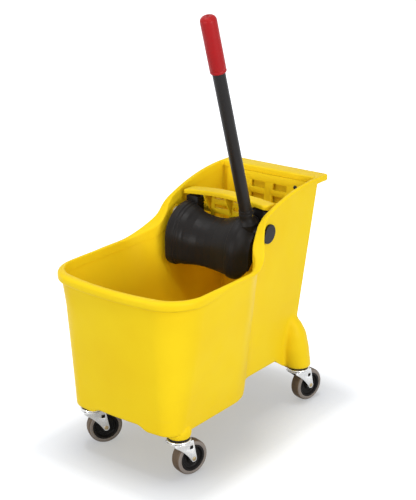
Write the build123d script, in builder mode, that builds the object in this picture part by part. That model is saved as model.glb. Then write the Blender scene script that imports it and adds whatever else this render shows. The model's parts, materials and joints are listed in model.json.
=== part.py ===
from build123d import *
import os
from math import atan, cos, radians, sin, tan

# Mop bucket with a lever wringer, on four swivel casters, in millimetres.
# The origin is on the floor under the middle of the bucket, +Z is up and the basin faces -Y.

os.makedirs("parts", exist_ok=True)

# Tank: a wide front basin that necks in to a narrow rear tower
wall = 5.0
basin_floor_z = 104.0  # underside of the basin
tower_floor_z = 120.0  # underside of the tower
floor_step = (-18.0, 6.0)  # where the underside climbs from one to the other
arch_half = (50.0, 78.0)  # half width of the raised middle of the basin's floor, at its top and foot
arch_height = 11.0
arch_back_y = 12.0
basin_half = 140.5  # half width of the basin at its underside
basin_lean = 7.3  # degrees that its sides lean out
front_y = -262.0  # front corners at the underside
front_lean = 1.3
front_bow = 9.0  # how far the front wall bulges past its corners at the underside
bow_growth = 0.06  # how fast that bulge grows with height
corner_radius = 38.0  # front corners at the underside
corner_growth = 0.19  # how fast that radius grows with height
flare_z = 330.0  # height at which it stops growing
tower_top_z = 516.0  # height at which the next sizes are taken
tower_half = 133.0
tower_lean = 4.0
back_y = 264.0
back_lean = 6.6
back_corner = 9.0
least_corner = 1.5  # inner corners are never sharper than this
neck = (-58.0, 50.0)  # where the sides start and stop turning in
neck_share = 0.62  # part of the neck's turn that bulges out
reach = 340.0  # past the tank on every side
below_z = 70.0
above_z = 570.0

# Rim: a rolled lip, flat round the basin, then an S up the tower to a grip ledge at the back
rim_z = 406.0
rise_y = -50.0  # where the S starts
hollow_radius = 102.0
hollow_turn = 66.0
crown_radius = 50.0
crown_turn = 43.5
slope_radius = 515.0
lip_height = 20.0
ledge_thickness = 13.0
lip_half = 180.0
lip_tower_half = 134.0
lip_front_y = -280.0
lip_bow = 23.0
lip_corner = 84.0
lip_neck = (-42.0, 74.0)
lip_back_y = 303.0
lip_back_corner = 9.0
bead = 4.0  # how far the rim stands into the tank
rim_round = 8.0  # outer edges of the rim, at its top and underside
rim_under_round = 5.0
bead_round = 3.0

# Casters: 76 mm wheels on 11 mm stems
wheel_radius = 38.0
tread_width = 26.0
caster_x = 119.85
caster_y = 219.65
trail = 26.5
trail_angles = {"front_right": 75.0, "front_left": 58.0, "rear_right": 77.0, "rear_left": 79.0}
boss_z = 87.5  # underside of the bosses that the casters plug into
boss_radius = 23.5
boss_top_radius = 27.0
leg_rings = (  # height, shift in towards the tank, radius
    (87.5, 0.0, 23.5),
    (97.0, 2.5, 31.0),
    (140.0, 8.0, 33.0),
    (175.0, 10.5, 29.0),
    (200.0, 14.0, 21.0),
    (224.0, 24.0, 9.0),
)
leg_skew = 0.75  # how much of that shift is also forward
leg_cove = 14.0  # hollow curve between the legs and the tower's walls
fairing_y = 152.0  # where the wedge ahead of each leg runs out
fairing_x = 90.0
fairing_half = 14.0
socket_wall = 5.0
stem_radius = 5.5
stem_top_z = 122.0
sleeve_radius = 8.0
rivet_radius = 8.0
rivet_height = 2.2
rivet_gap = 0.3
race_radius = 25.5
race_chamfer = 2.0
fork_plate_z = 79.0  # fork's top plate
fork_plate_thickness = 3.0
fork_plate_radius = 24.0
fork_front = 25.0
fork_back = 22.0
fork_inside = 14.5  # from the middle of the wheel to the inside of each cheek
fork_sheet = 2.5
fork_window = (20.0, 66.5)
window_size = 7.0
window_corner = 1.0
eye_radius = 7.0
axle_radius = 4.0
axle_head_radius = 6.0
axle_head = 3.0
wheel_bush_radius = 6.5
core_radius = 29.0
core_width = 24.0
web = 9.0
dish_radius = 24.0
hub_radius = 10.5
tread_round = 6.0
running_gap = 0.05
clear_gap = 0.4

# Wringer: a lever whose waisted half drum and slatted plate swing back onto the mop
pivot_y = 75.5
pivot_z = 449.0
pivot_radius = 8.0
bush_radius = 11.0
bush_flange_radius = 15.0
bush_flange = 3.0
bush_sink = 1.0  # how far the bushes stop short of the tower's outer face
pad_x = 120.0  # inner face of the pads that the bushes seat on
cap_radius = 21.5
cap_height = 5.0
cap_round = 1.5
drum_low_front = (13.0, 308.0)  # points of its end view, as (y, z)
drum_sole_back = (105.0, 400.0)  # where its rising underside levels off
drum_low_back = (150.0, 396.0)
drum_front = (13.0, 402.0)
drum_crest = (88.0, 479.0)
drum_top_back = (150.0, 466.0)
drum_low_round = 26.0
drum_rings = (  # place along the drum, how far its face stands in from the end view, how far it hangs lower
    (-109.0, 7.0, 0.0),
    (-107.0, 3.5, 0.0),
    (-103.0, 0.8, 0.0),
    (-97.0, 0.0, 0.0),
    (-76.0, 0.5, 0.0),
    (-70.0, 1.5, 0.0),
    (-65.0, 5.0, 1.5),
    (-60.0, 8.5, 3.0),
    (-48.0, 12.5, 5.0),
    (-32.0, 15.5, 6.0),
    (-10.0, 16.5, 6.5),
    (10.0, 15.0, 6.0),
    (28.0, 11.5, 4.0),
    (43.0, 8.0, 2.0),
    (53.0, 5.5, 1.0),
    (58.0, 2.0, 0.0),
    (64.0, 0.5, 0.0),
    (72.0, 0.5, 0.0),
    (79.0, 3.0, 0.0),
    (85.0, 7.5, 0.0),
    (90.0, 12.5, 0.0),
    (94.0, 17.0, 0.0),
    (98.0, 21.0, 0.0),
    (101.0, 23.5, 0.0),
    (104.0, 25.5, 0.0),
)
drum_wall = 4.0
drum_end = 5.0  # thickness of its end discs
waist = (-74.0, 50.0)  # stretch where the drum stops short of the plate
waist_back_y = 88.0
waist_back_z = 400.0
shoulders = ((-108.0, -76.0), (64.0, 108.0))  # where the drum rises behind to meet the flange of the plate
shoulder_y = 95.0
shoulder_z = (440.0, 489.5)
shoulder_round = 6.0
trunnion_radius = 14.0
trunnion_inner_x = 93.0
pin_inner_x = 97.0  # blind ends of the bores that the pivot pins are pressed into
post_x = 94.0  # posts inside the drum that the plate is screwed to
post_z = (437.5, 458.5)
post_radius = 8.0
post_length = 20.0
plate_screw_depth = 14.0
plate_y = 118.0  # front face of the press plate
plate_thickness = 6.0
plate_half = 103.0
plate_top_z = 501.0
plate_low_z = 320.0
plate_corner = 4.0
flange_thickness = 10.0
flange_y = 92.0
flange_half = 113.0
flange_rise = 8.0  # how far the flange is arched in the middle
flange_chamfer = 8.0
flange_round = 3.0
gusset_x = (-58.0, 0.0)
gusset_low_z = 452.0
gusset_thickness = 3.0
slat_pitch = 21.0
slat_gap = 9.0
slat_gap_width = 40.0
slat_columns = 4
slat_rows = 8
slat_middle_z = 416.5
slat_corner = 2.0
plate_boss_x = (-67.0, 29.0)
boss_height = 467.0
plate_boss_radius = 5.5
handle_x = 79.5
handle_lean = 17.4  # degrees that the handle leans forward
handle_foot_y = 76.0  # where its axis passes the height of the pivot
tube_radius = 13.5
tube_wall = 2.0
grip_radius = 17.0
handle_reach = 493.0  # from the pivot's height to the tip, along the handle
grip_length = 120.0
grip_end = 15.0  # solid end beyond the tube
grip_dome = 11.0
vent_radius = 2.0
socket_radius = 16.0
socket_top = 45.0
socket_low = -22.0
socket_floor = -16.0
collar_radius = 15.2
collar_height = 7.0
collar_round = 1.2
handle_pin_radius = 2.5
handle_pin_height = 38.0  # along the handle

# Perforated panel in front of the back wall
panel_gap = 5.2
panel_thickness = 4.0
panel_top_z = 519.0
panel_low_z = 236.0
panel_half_top = 108.0
panel_half_low = 96.0
panel_corner = 5.0
slot_width = 37.0
slot_height = 15.0
slot_pitch_x = 59.5
slot_pitch_z = 28.5
slot_rows = 9
slot_top_z = 498.0
slot_shift = 10.0  # the slots sit to the right of the middle
slot_drop = 4.3  # middle of the first row, below the panel's origin
slot_corner = 2.0
panel_screws_at = ((81.0, 4.5), (-81.0, 4.5))
panel_rib_pitch = 80.0
panel_rib_end = 10.0  # how far the ribs stop short of the panel's ends
screw_radius = 2.5
screw_head_radius = 4.5
screw_head = 2.6
screw_round = 1.0
screw_slot = 1.2


def export(piece, name):
    """Labels a finished piece and writes it to its own file."""
    piece.part.label = name
    export_step(piece.part, f"parts/{name}.step")


def lean_out(size, lean, height, level):
    """A size taken at one level, carried up a leaning wall to a height."""
    return size + (height - level) * tan(radians(lean))


def plan(height, half, tower, front, bow, corner, turn_in, back, rear_corner):
    """Plan outline at a height: bowed front, straight sides, a necked-in tower and a straight back."""
    start, end = turn_in
    turn = 2 * atan((half - tower) / (end - start))
    bend = (end - start) / sin(turn) * neck_share
    middle = (half - bend * (1 - cos(turn)), start + bend * sin(turn))
    with BuildSketch(Plane.XY.offset(height)) as outline:
        with BuildLine():
            TangentArc((0, front - bow), (half, front), tangent=(1, 0))
            Line((half, front), (half, start))
            TangentArc((half, start), middle, tangent=(0, 1))
            TangentArc(middle, (tower, end), tangent=(-sin(turn), cos(turn)))
            Line((tower, end), (tower, back))
            Line((tower, back), (0, back))
            mirror(about=Plane.YZ)
        make_face()
        corners = outline.vertices().filter_by(lambda v: abs(v.X) > 1)
        fillet(corners.filter_by(lambda v: abs(v.Y - front) < 0.1), corner)
        fillet(outline.vertices().filter_by(lambda v: abs(v.X) > 1 and abs(v.Y - back) < 0.1), rear_corner)
    return outline.sketch


def tank_plan(height, inset):
    """Plan of the tank at a height, drawn in from its outer face by an inset."""
    return plan(
        height,
        lean_out(basin_half, basin_lean, height, basin_floor_z) - inset,
        lean_out(tower_half, tower_lean, height, tower_top_z) - inset,
        lean_out(front_y, -front_lean, height, basin_floor_z) + inset,
        front_bow + (height - basin_floor_z) * bow_growth,
        corner_radius + (min(height, flare_z) - basin_floor_z) * corner_growth - inset,
        neck,
        lean_out(back_y, back_lean, height, tower_top_z) - inset,
        max(back_corner - inset, least_corner),
    )


def tank_body(inset):
    """Solid inside the tank's outer face, drawn in by an inset, from below its underside to above its rim."""
    with BuildPart() as body:
        loft(sections=[tank_plan(below_z, inset), tank_plan(flare_z, inset)], ruled=True)
        loft(sections=[tank_plan(flare_z, inset), tank_plan(above_z, inset)], ruled=True)
    return body.part


def rim_curve(drop):
    """Side view of the rim, offset down from its top by a drop."""
    flat = Line((-reach, rim_z - drop), (rise_y, rim_z - drop))
    hollow = JernArc(flat @ 1, flat % 1, hollow_radius + drop, hollow_turn)
    crown = JernArc(hollow @ 1, hollow % 1, crown_radius - drop, -crown_turn)
    slope = JernArc(crown @ 1, crown % 1, slope_radius - drop, crown_turn - hollow_turn)
    Line(slope @ 1, (reach, (slope @ 1).Y))
    return (slope @ 1).Y


def side_profile():
    """Side view of the tank's walls, from the underside to the middle of the rim."""
    with BuildSketch(Plane.YZ) as profile:
        with BuildLine():
            top = rim_curve(lip_height / 2)
            Polyline(
                (reach, top),
                (reach, tower_floor_z),
                (floor_step[1], tower_floor_z),
                (floor_step[0], basin_floor_z),
                (-reach, basin_floor_z),
                (-reach, rim_z - lip_height / 2),
            )
        make_face()
    return profile.sketch


def facing(face):
    """Outward direction at the middle of a face."""
    return face.normal_at(face.center())


def rim_edges(band, up, inside):
    """Edges between the rim's top (up = 1) or underside (up = -1) and its inner or its outer sides."""
    caps = band.faces().filter_by(lambda f: abs(facing(f).X) < 0.01 and facing(f).Z * up > 0.05)
    sides = band.faces().filter_by(lambda f: abs(facing(f).Z) < 0.3)
    if inside:
        sides = sides.filter_by(lambda f: f.center().X * facing(f).X + f.center().Y * facing(f).Y < 0)
    borders = sides.edges()
    return caps.edges().filter_by(lambda e: e in borders)


# Rim band, cut to the S in side view
with BuildPart() as rim:
    lip_plan = plan(
        below_z,
        lip_half,
        lip_tower_half,
        lip_front_y,
        lip_bow,
        lip_corner,
        lip_neck,
        lip_back_y,
        lip_back_corner,
    )
    extrude(lip_plan, amount=above_z - below_z)
    with BuildSketch(Plane.YZ) as band:
        with BuildLine():
            ledge_z = rim_curve(0)
            under_z = rim_curve(lip_height)
            Line((-reach, rim_z), (-reach, rim_z - lip_height))
            Line((reach, ledge_z), (reach, under_z))
        make_face()
    extrude(amount=reach, both=True, mode=Mode.INTERSECT)
    fillet(rim_edges(rim, 1, False), rim_round)
    fillet(rim_edges(rim, -1, False), rim_under_round)
    with BuildSketch(Plane.XY.offset(ledge_z - ledge_thickness)):
        with Locations((0, lip_back_y)):
            Rectangle(2 * reach, 2 * (lip_back_y - lean_out(back_y, back_lean, ledge_z, tower_top_z)))
    extrude(amount=-lip_height, mode=Mode.SUBTRACT)
    add(tank_body(wall + bead), mode=Mode.SUBTRACT)
    fillet(rim_edges(rim, 1, True), bead_round)

# Hollow of the tank
with BuildPart() as tank_hollow:
    add(tank_body(wall))
    with BuildSketch(Plane.YZ) as hollow_profile:
        with BuildLine():
            Polyline(
                (-reach, basin_floor_z + wall),
                (floor_step[0], basin_floor_z + wall),
                (floor_step[1], tower_floor_z + wall),
                (reach, tower_floor_z + wall),
                (reach, above_z),
                (-reach, above_z),
                close=True,
            )
        make_face()
    extrude(amount=reach, both=True, mode=Mode.INTERSECT)


def floor_arch(grow, front):
    """Raised strip along the middle of the basin's floor, grown by a thickness and run forward to a front."""
    inner, outer = arch_half
    with BuildPart() as arch:
        with BuildSketch(Plane.XZ.offset(-arch_back_y)):
            with BuildLine():
                Polyline(
                    (-outer - grow, basin_floor_z),
                    (-inner - grow, basin_floor_z + arch_height + grow),
                    (inner + grow, basin_floor_z + arch_height + grow),
                    (outer + grow, basin_floor_z),
                    close=True,
                )
            make_face()
        extrude(amount=arch_back_y - front)
    return arch.part


def caster_posts():
    """Bosses under the basin's front corners and flared legs under the tower's back corners."""
    with BuildPart() as posts:
        for side in (-1, 1):
            with BuildSketch(Plane.XY.offset(boss_z)):
                with Locations((side * caster_x, -caster_y)):
                    Circle(boss_radius)
            with BuildSketch(Plane.XY.offset(basin_floor_z + wall)):
                with Locations((side * caster_x, -caster_y)):
                    Circle(boss_top_radius)
            loft()
            for height, shift, radius in leg_rings:
                with BuildSketch(Plane.XY.offset(height)):
                    with Locations((side * (caster_x - shift), caster_y - leg_skew * shift)):
                        Circle(radius)
            loft()
    return posts.part


def leg_fairings():
    """Wedges under the tower that run down to the front of each leg."""
    with BuildPart() as fairings:
        for side in (-1, 1):
            with BuildSketch(Plane.YZ.offset(side * fairing_x)):
                with BuildLine():
                    Polyline(
                        (caster_y, boss_z + wall),
                        (caster_y, tower_floor_z + wall),
                        (fairing_y, tower_floor_z + wall),
                        (fairing_y, tower_floor_z),
                        close=True,
                    )
                make_face()
            extrude(amount=fairing_half, both=True)
    return fairings.part


def is_leg_seam(edge):
    """Whether an edge is where a leg runs into the tower's walls."""
    heights = [(edge @ 0).Z, (edge @ 1).Z]
    within = min(heights) > boss_z + wall and max(heights) < leg_rings[-1][0]
    return within and (edge @ 0.5).Z > tower_floor_z + wall and (edge @ 0.5).Y > fairing_y


with BuildPart() as bucket_shell:
    add(tank_body(0))
    extrude(side_profile(), amount=reach, both=True, mode=Mode.INTERSECT)
    add(caster_posts())
    fillet(bucket_shell.edges().filter_by(is_leg_seam), leg_cove)
    add(leg_fairings())
    add(tank_hollow.part, mode=Mode.SUBTRACT)
    add(floor_arch(wall, front_y - front_bow / 2))
    add(floor_arch(0, -reach), mode=Mode.SUBTRACT)
    add(rim.part)
    with BuildSketch(Plane.XY.offset(basin_floor_z)):
        with GridLocations(2 * caster_x, 2 * caster_y, 2, 2):
            Circle(sleeve_radius + socket_wall)
    extrude(amount=stem_top_z + socket_wall - basin_floor_z)
    with BuildSketch(Plane.XY.offset(boss_z)):
        with GridLocations(2 * caster_x, 2 * caster_y, 2, 2):
            Circle(sleeve_radius)
    extrude(amount=stem_top_z - boss_z, mode=Mode.SUBTRACT)
    for side in (-1, 1):
        with BuildSketch(Plane.YZ.offset(side * pad_x)):
            with Locations((pivot_y, pivot_z)):
                Circle(bush_flange_radius + bush_flange)
        extrude(amount=side * wall)
    with BuildSketch(Plane.YZ):
        with Locations((pivot_y, pivot_z)):
            Circle(bush_radius)
    extrude(amount=lip_half, both=True, mode=Mode.SUBTRACT)
export(bucket_shell, "bucket_shell")


# Perforated panel, parallel to the back wall and held off it by ribs
back_wall_y = lean_out(back_y, back_lean, slot_top_z, tower_top_z) - wall
panel_plane = Plane(
    origin=(0, back_wall_y - panel_gap, slot_top_z),
    x_dir=(1, 0, 0),
    z_dir=(0, -cos(radians(back_lean)), sin(radians(back_lean))),
)
panel_up = (panel_top_z - slot_top_z) / cos(radians(back_lean))
panel_down = (panel_low_z - slot_top_z) / cos(radians(back_lean))
with BuildPart() as wringer_panel:
    with BuildSketch(panel_plane) as panel_face:
        with BuildLine():
            Polyline(
                (-panel_half_low, panel_down),
                (panel_half_low, panel_down),
                (panel_half_top, panel_up),
                (-panel_half_top, panel_up),
                close=True,
            )
        make_face()
        fillet(panel_face.vertices(), panel_corner)
        with Locations((slot_shift, -slot_drop - slot_pitch_z * (slot_rows - 1) / 2)):
            with GridLocations(slot_pitch_x, slot_pitch_z, 2, slot_rows):
                RectangleRounded(slot_width, slot_height, slot_corner, mode=Mode.SUBTRACT)
        with Locations(*panel_screws_at):
            Circle(screw_radius, mode=Mode.SUBTRACT)
    extrude(amount=panel_thickness)
    with BuildSketch(panel_plane):
        with Locations((slot_shift, (panel_up + panel_down) / 2)):
            with GridLocations(panel_rib_pitch, 1, 3, 1):
                Rectangle(wall, panel_up - panel_down - 2 * panel_rib_end)
        with Locations(*panel_screws_at):
            Circle(2 * screw_radius)
            Circle(screw_radius, mode=Mode.SUBTRACT)
    extrude(amount=-panel_gap * cos(radians(back_lean)))
export(wringer_panel, "wringer_panel")


def screw(plane, spots, length):
    """Pan-head screws with a cross recess, their heads seated on a plane and pointing along its normal."""
    with BuildPart() as screws:
        with BuildSketch(plane):
            with Locations(*spots):
                Circle(screw_head_radius)
        extrude(amount=screw_head)
        circles = screws.edges().filter_by(GeomType.CIRCLE)
        fillet(circles.group_by(Axis(plane.origin, plane.z_dir))[-1], screw_round)
        with BuildSketch(plane.offset(screw_head)):
            with Locations(*spots):
                Rectangle(screw_head_radius, screw_slot)
                Rectangle(screw_slot, screw_head_radius)
        extrude(amount=-screw_slot, mode=Mode.SUBTRACT)
        with BuildSketch(plane):
            with Locations(*spots):
                Circle(screw_radius)
        extrude(amount=-length)
    return screws


panel_screws = screw(
    panel_plane.offset(panel_thickness),
    panel_screws_at,
    panel_thickness + panel_gap * cos(radians(back_lean)),
)
export(panel_screws, "panel_screws")

# Handle axis: local Z runs up the handle from the height of the pivot
lean = radians(handle_lean)
handle = Plane(origin=(handle_x, handle_foot_y, pivot_z), x_dir=(1, 0, 0), z_dir=(0, -sin(lean), cos(lean)))
handle_pin_spot = handle.offset(handle_pin_height).origin


def drum_section(place, inset, drop):
    """End view of the drum at a place along it, drawn in by an inset and lowered by a drop."""
    with BuildSketch(Plane(origin=(place, 0, -drop), x_dir=(0, 1, 0), z_dir=(1, 0, 0))) as section:
        with BuildLine():
            TangentArc(drum_front, drum_crest, tangent=(0, 1))
            TangentArc(drum_crest, drum_top_back, tangent=(1, 0))
            Polyline(drum_top_back, drum_low_back, drum_sole_back, drum_low_front, drum_front)
        make_face()
        fillet(section.vertices().group_by(Axis.X)[0].sort_by(Axis.Y)[0], drum_low_round)
        offset(amount=-inset, kind=Kind.INTERSECTION, mode=Mode.REPLACE)
    return section.sketch


# Inside of the drum, between its end discs
left_end = drum_rings[0][0] + drum_end
right_end = drum_rings[-1][0] - drum_end
inner_rings = [ring for ring in drum_rings if left_end < ring[0] < right_end]
inner_rings = [(left_end, *inner_rings[0][1:]), *inner_rings, (right_end, *inner_rings[-1][1:])]
with BuildPart() as drum_hollow:
    hollow_sections = [drum_section(place, inset + drum_wall, drop) for place, inset, drop in inner_rings]
    loft(sections=hollow_sections, ruled=True)

# Waisted drum, hollow and open at the back, with the handle's socket on its right end
with BuildPart() as press_drum:
    loft(sections=[drum_section(*ring) for ring in drum_rings], ruled=True)
    add(drum_hollow.part, mode=Mode.SUBTRACT)
    with BuildSketch(Plane.YZ.offset(trunnion_inner_x)):
        with Locations((pivot_y, pivot_z)):
            Circle(trunnion_radius)
    trunnion = extrude(amount=pad_x - bush_flange - clear_gap - trunnion_inner_x)
    mirror(trunnion, about=Plane.YZ)
    with BuildSketch(handle.offset(socket_low)):
        Circle(socket_radius)
    extrude(amount=socket_top - socket_low)
    with BuildSketch(Plane.XZ.offset(-plate_y)):
        with Locations((0, sum(post_z) / 2)):
            with GridLocations(2 * post_x, post_z[1] - post_z[0], 2, 2):
                Circle(post_radius)
    extrude(amount=post_length)
    with BuildSketch(Plane.XZ.offset(-plate_y)):
        for start, end in shoulders:
            with Locations(((start + end) / 2, sum(shoulder_z) / 2)):
                RectangleRounded(end - start, shoulder_z[1] - shoulder_z[0], shoulder_round)
    extrude(amount=plate_y - shoulder_y)
    with BuildSketch(Plane.XZ.offset(-plate_y)):
        Rectangle(2 * reach, 4 * reach)
    extrude(amount=-reach, mode=Mode.SUBTRACT)
    with BuildSketch(Plane.XZ.offset(-waist_back_y)):
        with BuildLine():
            Polyline(
                (waist[0], waist_back_z),
                (waist[1], waist_back_z),
                (waist[1], above_z),
                (waist[0], above_z),
                close=True,
            )
        make_face()
    extrude(amount=-reach, mode=Mode.SUBTRACT)
    with BuildSketch(handle.offset(socket_floor)):
        Circle(tube_radius + running_gap)
    extrude(amount=reach, mode=Mode.SUBTRACT)
    with BuildSketch(Plane.YZ.offset(pin_inner_x)):
        with Locations((pivot_y, pivot_z)):
            Circle(pivot_radius)
    pin_bore = extrude(amount=reach, mode=Mode.SUBTRACT)
    mirror(pin_bore, about=Plane.YZ, mode=Mode.SUBTRACT)
    with BuildSketch(Plane.XZ.offset(-plate_y)):
        with Locations((0, sum(post_z) / 2)):
            with GridLocations(2 * post_x, post_z[1] - post_z[0], 2, 2):
                Circle(screw_radius)
    extrude(amount=plate_screw_depth, mode=Mode.SUBTRACT)
    with BuildSketch(Plane(handle_pin_spot, x_dir=(0, 1, 0), z_dir=(1, 0, 0))):
        Circle(handle_pin_radius)
    extrude(amount=socket_radius, both=True, mode=Mode.SUBTRACT)
export(press_drum, "press_drum")

# Slatted press plate with an arched top flange and gussets, closing the back of the drum
plate_face = Plane.XZ.offset(-plate_y)
flange_low_z = plate_top_z - flange_thickness
with BuildPart() as top_flange:
    with BuildSketch(Plane.XZ.offset(-flange_y)):
        with BuildLine():
            for level in (flange_low_z, plate_top_z):
                ThreePointArc((-flange_half, level), (0, level + flange_rise), (flange_half, level))
            for end in (-flange_half, flange_half):
                Line((end, flange_low_z), (end, plate_top_z))
        make_face()
    extrude(amount=flange_y - plate_y - plate_thickness)
    upright = top_flange.edges().filter_by(Axis.Z).group_by(Axis.Y)[0]
    chamfer(upright.sort_by(Axis.X)[-1], flange_chamfer)
    front_edges = top_flange.faces().sort_by(Axis.Y)[0].edges()
    fillet(front_edges.group_by(Axis.Z)[-1], flange_round)
with BuildPart() as press_plate:
    with BuildSketch(plate_face):
        with Locations((0, (plate_top_z + plate_low_z) / 2)):
            RectangleRounded(2 * plate_half, plate_top_z - plate_low_z, plate_corner)
        with Locations((0, slat_middle_z)):
            with GridLocations(2 * plate_half / slat_columns, slat_pitch, slat_columns, slat_rows):
                RectangleRounded(slat_gap_width, slat_gap, slat_corner, mode=Mode.SUBTRACT)
    extrude(amount=-plate_thickness)
    add(top_flange.part)
    for place in gusset_x:
        with BuildSketch(Plane.YZ.offset(place)):
            with BuildLine():
                Polyline(
                    (plate_y, gusset_low_z),
                    (plate_y, plate_top_z),
                    (flange_y + flange_round, plate_top_z),
                    (flange_y + flange_round, flange_low_z),
                    close=True,
                )
            make_face()
        extrude(amount=gusset_thickness / 2, both=True)
    with BuildSketch(plate_face):
        with Locations(*[(place, boss_height) for place in plate_boss_x]):
            Circle(plate_boss_radius)
            Circle(screw_radius, mode=Mode.SUBTRACT)
    extrude(amount=plate_thickness)
    with BuildSketch(plate_face):
        with Locations((0, sum(post_z) / 2)):
            with GridLocations(2 * post_x, post_z[1] - post_z[0], 2, 2):
                Circle(screw_radius)
    extrude(amount=-plate_thickness, mode=Mode.SUBTRACT)
export(press_plate, "press_plate")

plate_back = Plane(origin=(0, plate_y + plate_thickness, sum(post_z) / 2), x_dir=(-1, 0, 0), z_dir=(0, 1, 0))
post_spots = [(x, z - sum(post_z) / 2) for x in (-post_x, post_x) for z in post_z]
plate_screws = screw(plate_back, post_spots, plate_thickness + plate_screw_depth)
export(plate_screws, "plate_screws")

# Handle
with BuildPart() as handle_tube:
    with BuildSketch(handle.offset(socket_floor)):
        Circle(tube_radius)
        Circle(tube_radius - tube_wall, mode=Mode.SUBTRACT)
    extrude(amount=handle_reach - grip_end - socket_floor)
    with BuildSketch(Plane(handle_pin_spot, x_dir=(0, 1, 0), z_dir=(1, 0, 0))):
        Circle(handle_pin_radius)
    extrude(amount=socket_radius, both=True, mode=Mode.SUBTRACT)
export(handle_tube, "handle_tube")

with BuildPart() as handle_pin:
    with BuildSketch(Plane(handle_pin_spot, x_dir=(0, 1, 0), z_dir=(1, 0, 0))):
        Circle(handle_pin_radius - running_gap)
    extrude(amount=socket_radius, both=True)
export(handle_pin, "handle_pin")

with BuildPart() as handle_collar:
    with BuildSketch(handle.offset(socket_top)):
        Circle(collar_radius)
    extrude(amount=collar_height)
    fillet(handle_collar.edges().group_by(Axis(handle.origin, handle.z_dir))[-1], collar_round)
    with BuildSketch(handle.offset(socket_top)):
        Circle(tube_radius + running_gap)
    extrude(amount=collar_height, mode=Mode.SUBTRACT)
export(handle_collar, "handle_collar")

with BuildPart() as handle_grip:
    with BuildSketch(handle.offset(handle_reach - grip_length)):
        Circle(grip_radius)
    extrude(amount=grip_length)
    grip_edges = handle_grip.edges().filter_by(GeomType.CIRCLE).group_by(Axis(handle.origin, handle.z_dir))
    fillet(grip_edges[-1], grip_dome)
    fillet(handle_grip.edges().group_by(Axis(handle.origin, handle.z_dir))[0], collar_round)
    with BuildSketch(handle.offset(handle_reach - grip_length)):
        Circle(tube_radius + running_gap)
    extrude(amount=grip_length - grip_end, mode=Mode.SUBTRACT)
    with BuildSketch(handle.offset(handle_reach)):
        Circle(vent_radius)
    extrude(amount=-grip_end, mode=Mode.SUBTRACT)
export(handle_grip, "handle_grip")

# Pivots: pins in the drum's ends turn in bushes in the tower's walls, under round caps
wall_x = lean_out(tower_half, tower_lean, pivot_z, tower_top_z)
for side, hand in ((-1, "left"), (1, "right")):
    with BuildPart() as pivot_pin:
        with BuildSketch(Plane.YZ.offset(side * pin_inner_x)):
            with Locations((pivot_y, pivot_z)):
                Circle(pivot_radius)
        extrude(amount=side * (pad_x + wall - pin_inner_x))
    export(pivot_pin, f"pivot_pin_{hand}")

    with BuildPart() as pivot_bush:
        with BuildSketch(Plane.YZ.offset(side * (pad_x - bush_flange))):
            with Locations((pivot_y, pivot_z)):
                Circle(bush_flange_radius)
        extrude(amount=side * bush_flange)
        with BuildSketch(Plane.YZ.offset(side * pad_x)):
            with Locations((pivot_y, pivot_z)):
                Circle(bush_radius - running_gap)
        extrude(amount=side * (wall_x - bush_sink - pad_x))
        with BuildSketch(Plane.YZ):
            with Locations((pivot_y, pivot_z)):
                Circle(pivot_radius + running_gap)
        extrude(amount=reach, both=True, mode=Mode.SUBTRACT)
    export(pivot_bush, f"pivot_bush_{hand}")

    cap_plane = Plane(
        origin=(side * wall_x, pivot_y, pivot_z),
        x_dir=(0, side, 0),
        z_dir=(side * cos(radians(tower_lean)), 0, -sin(radians(tower_lean))),
    )
    with BuildPart() as pivot_cap:
        with BuildSketch(cap_plane):
            Circle(cap_radius)
        extrude(amount=cap_height)
        fillet(pivot_cap.edges().group_by(Axis(cap_plane.origin, cap_plane.z_dir))[-1], cap_round)
        add(rim.part, mode=Mode.SUBTRACT)
    export(pivot_cap, f"pivot_cap_{hand}")


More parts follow.
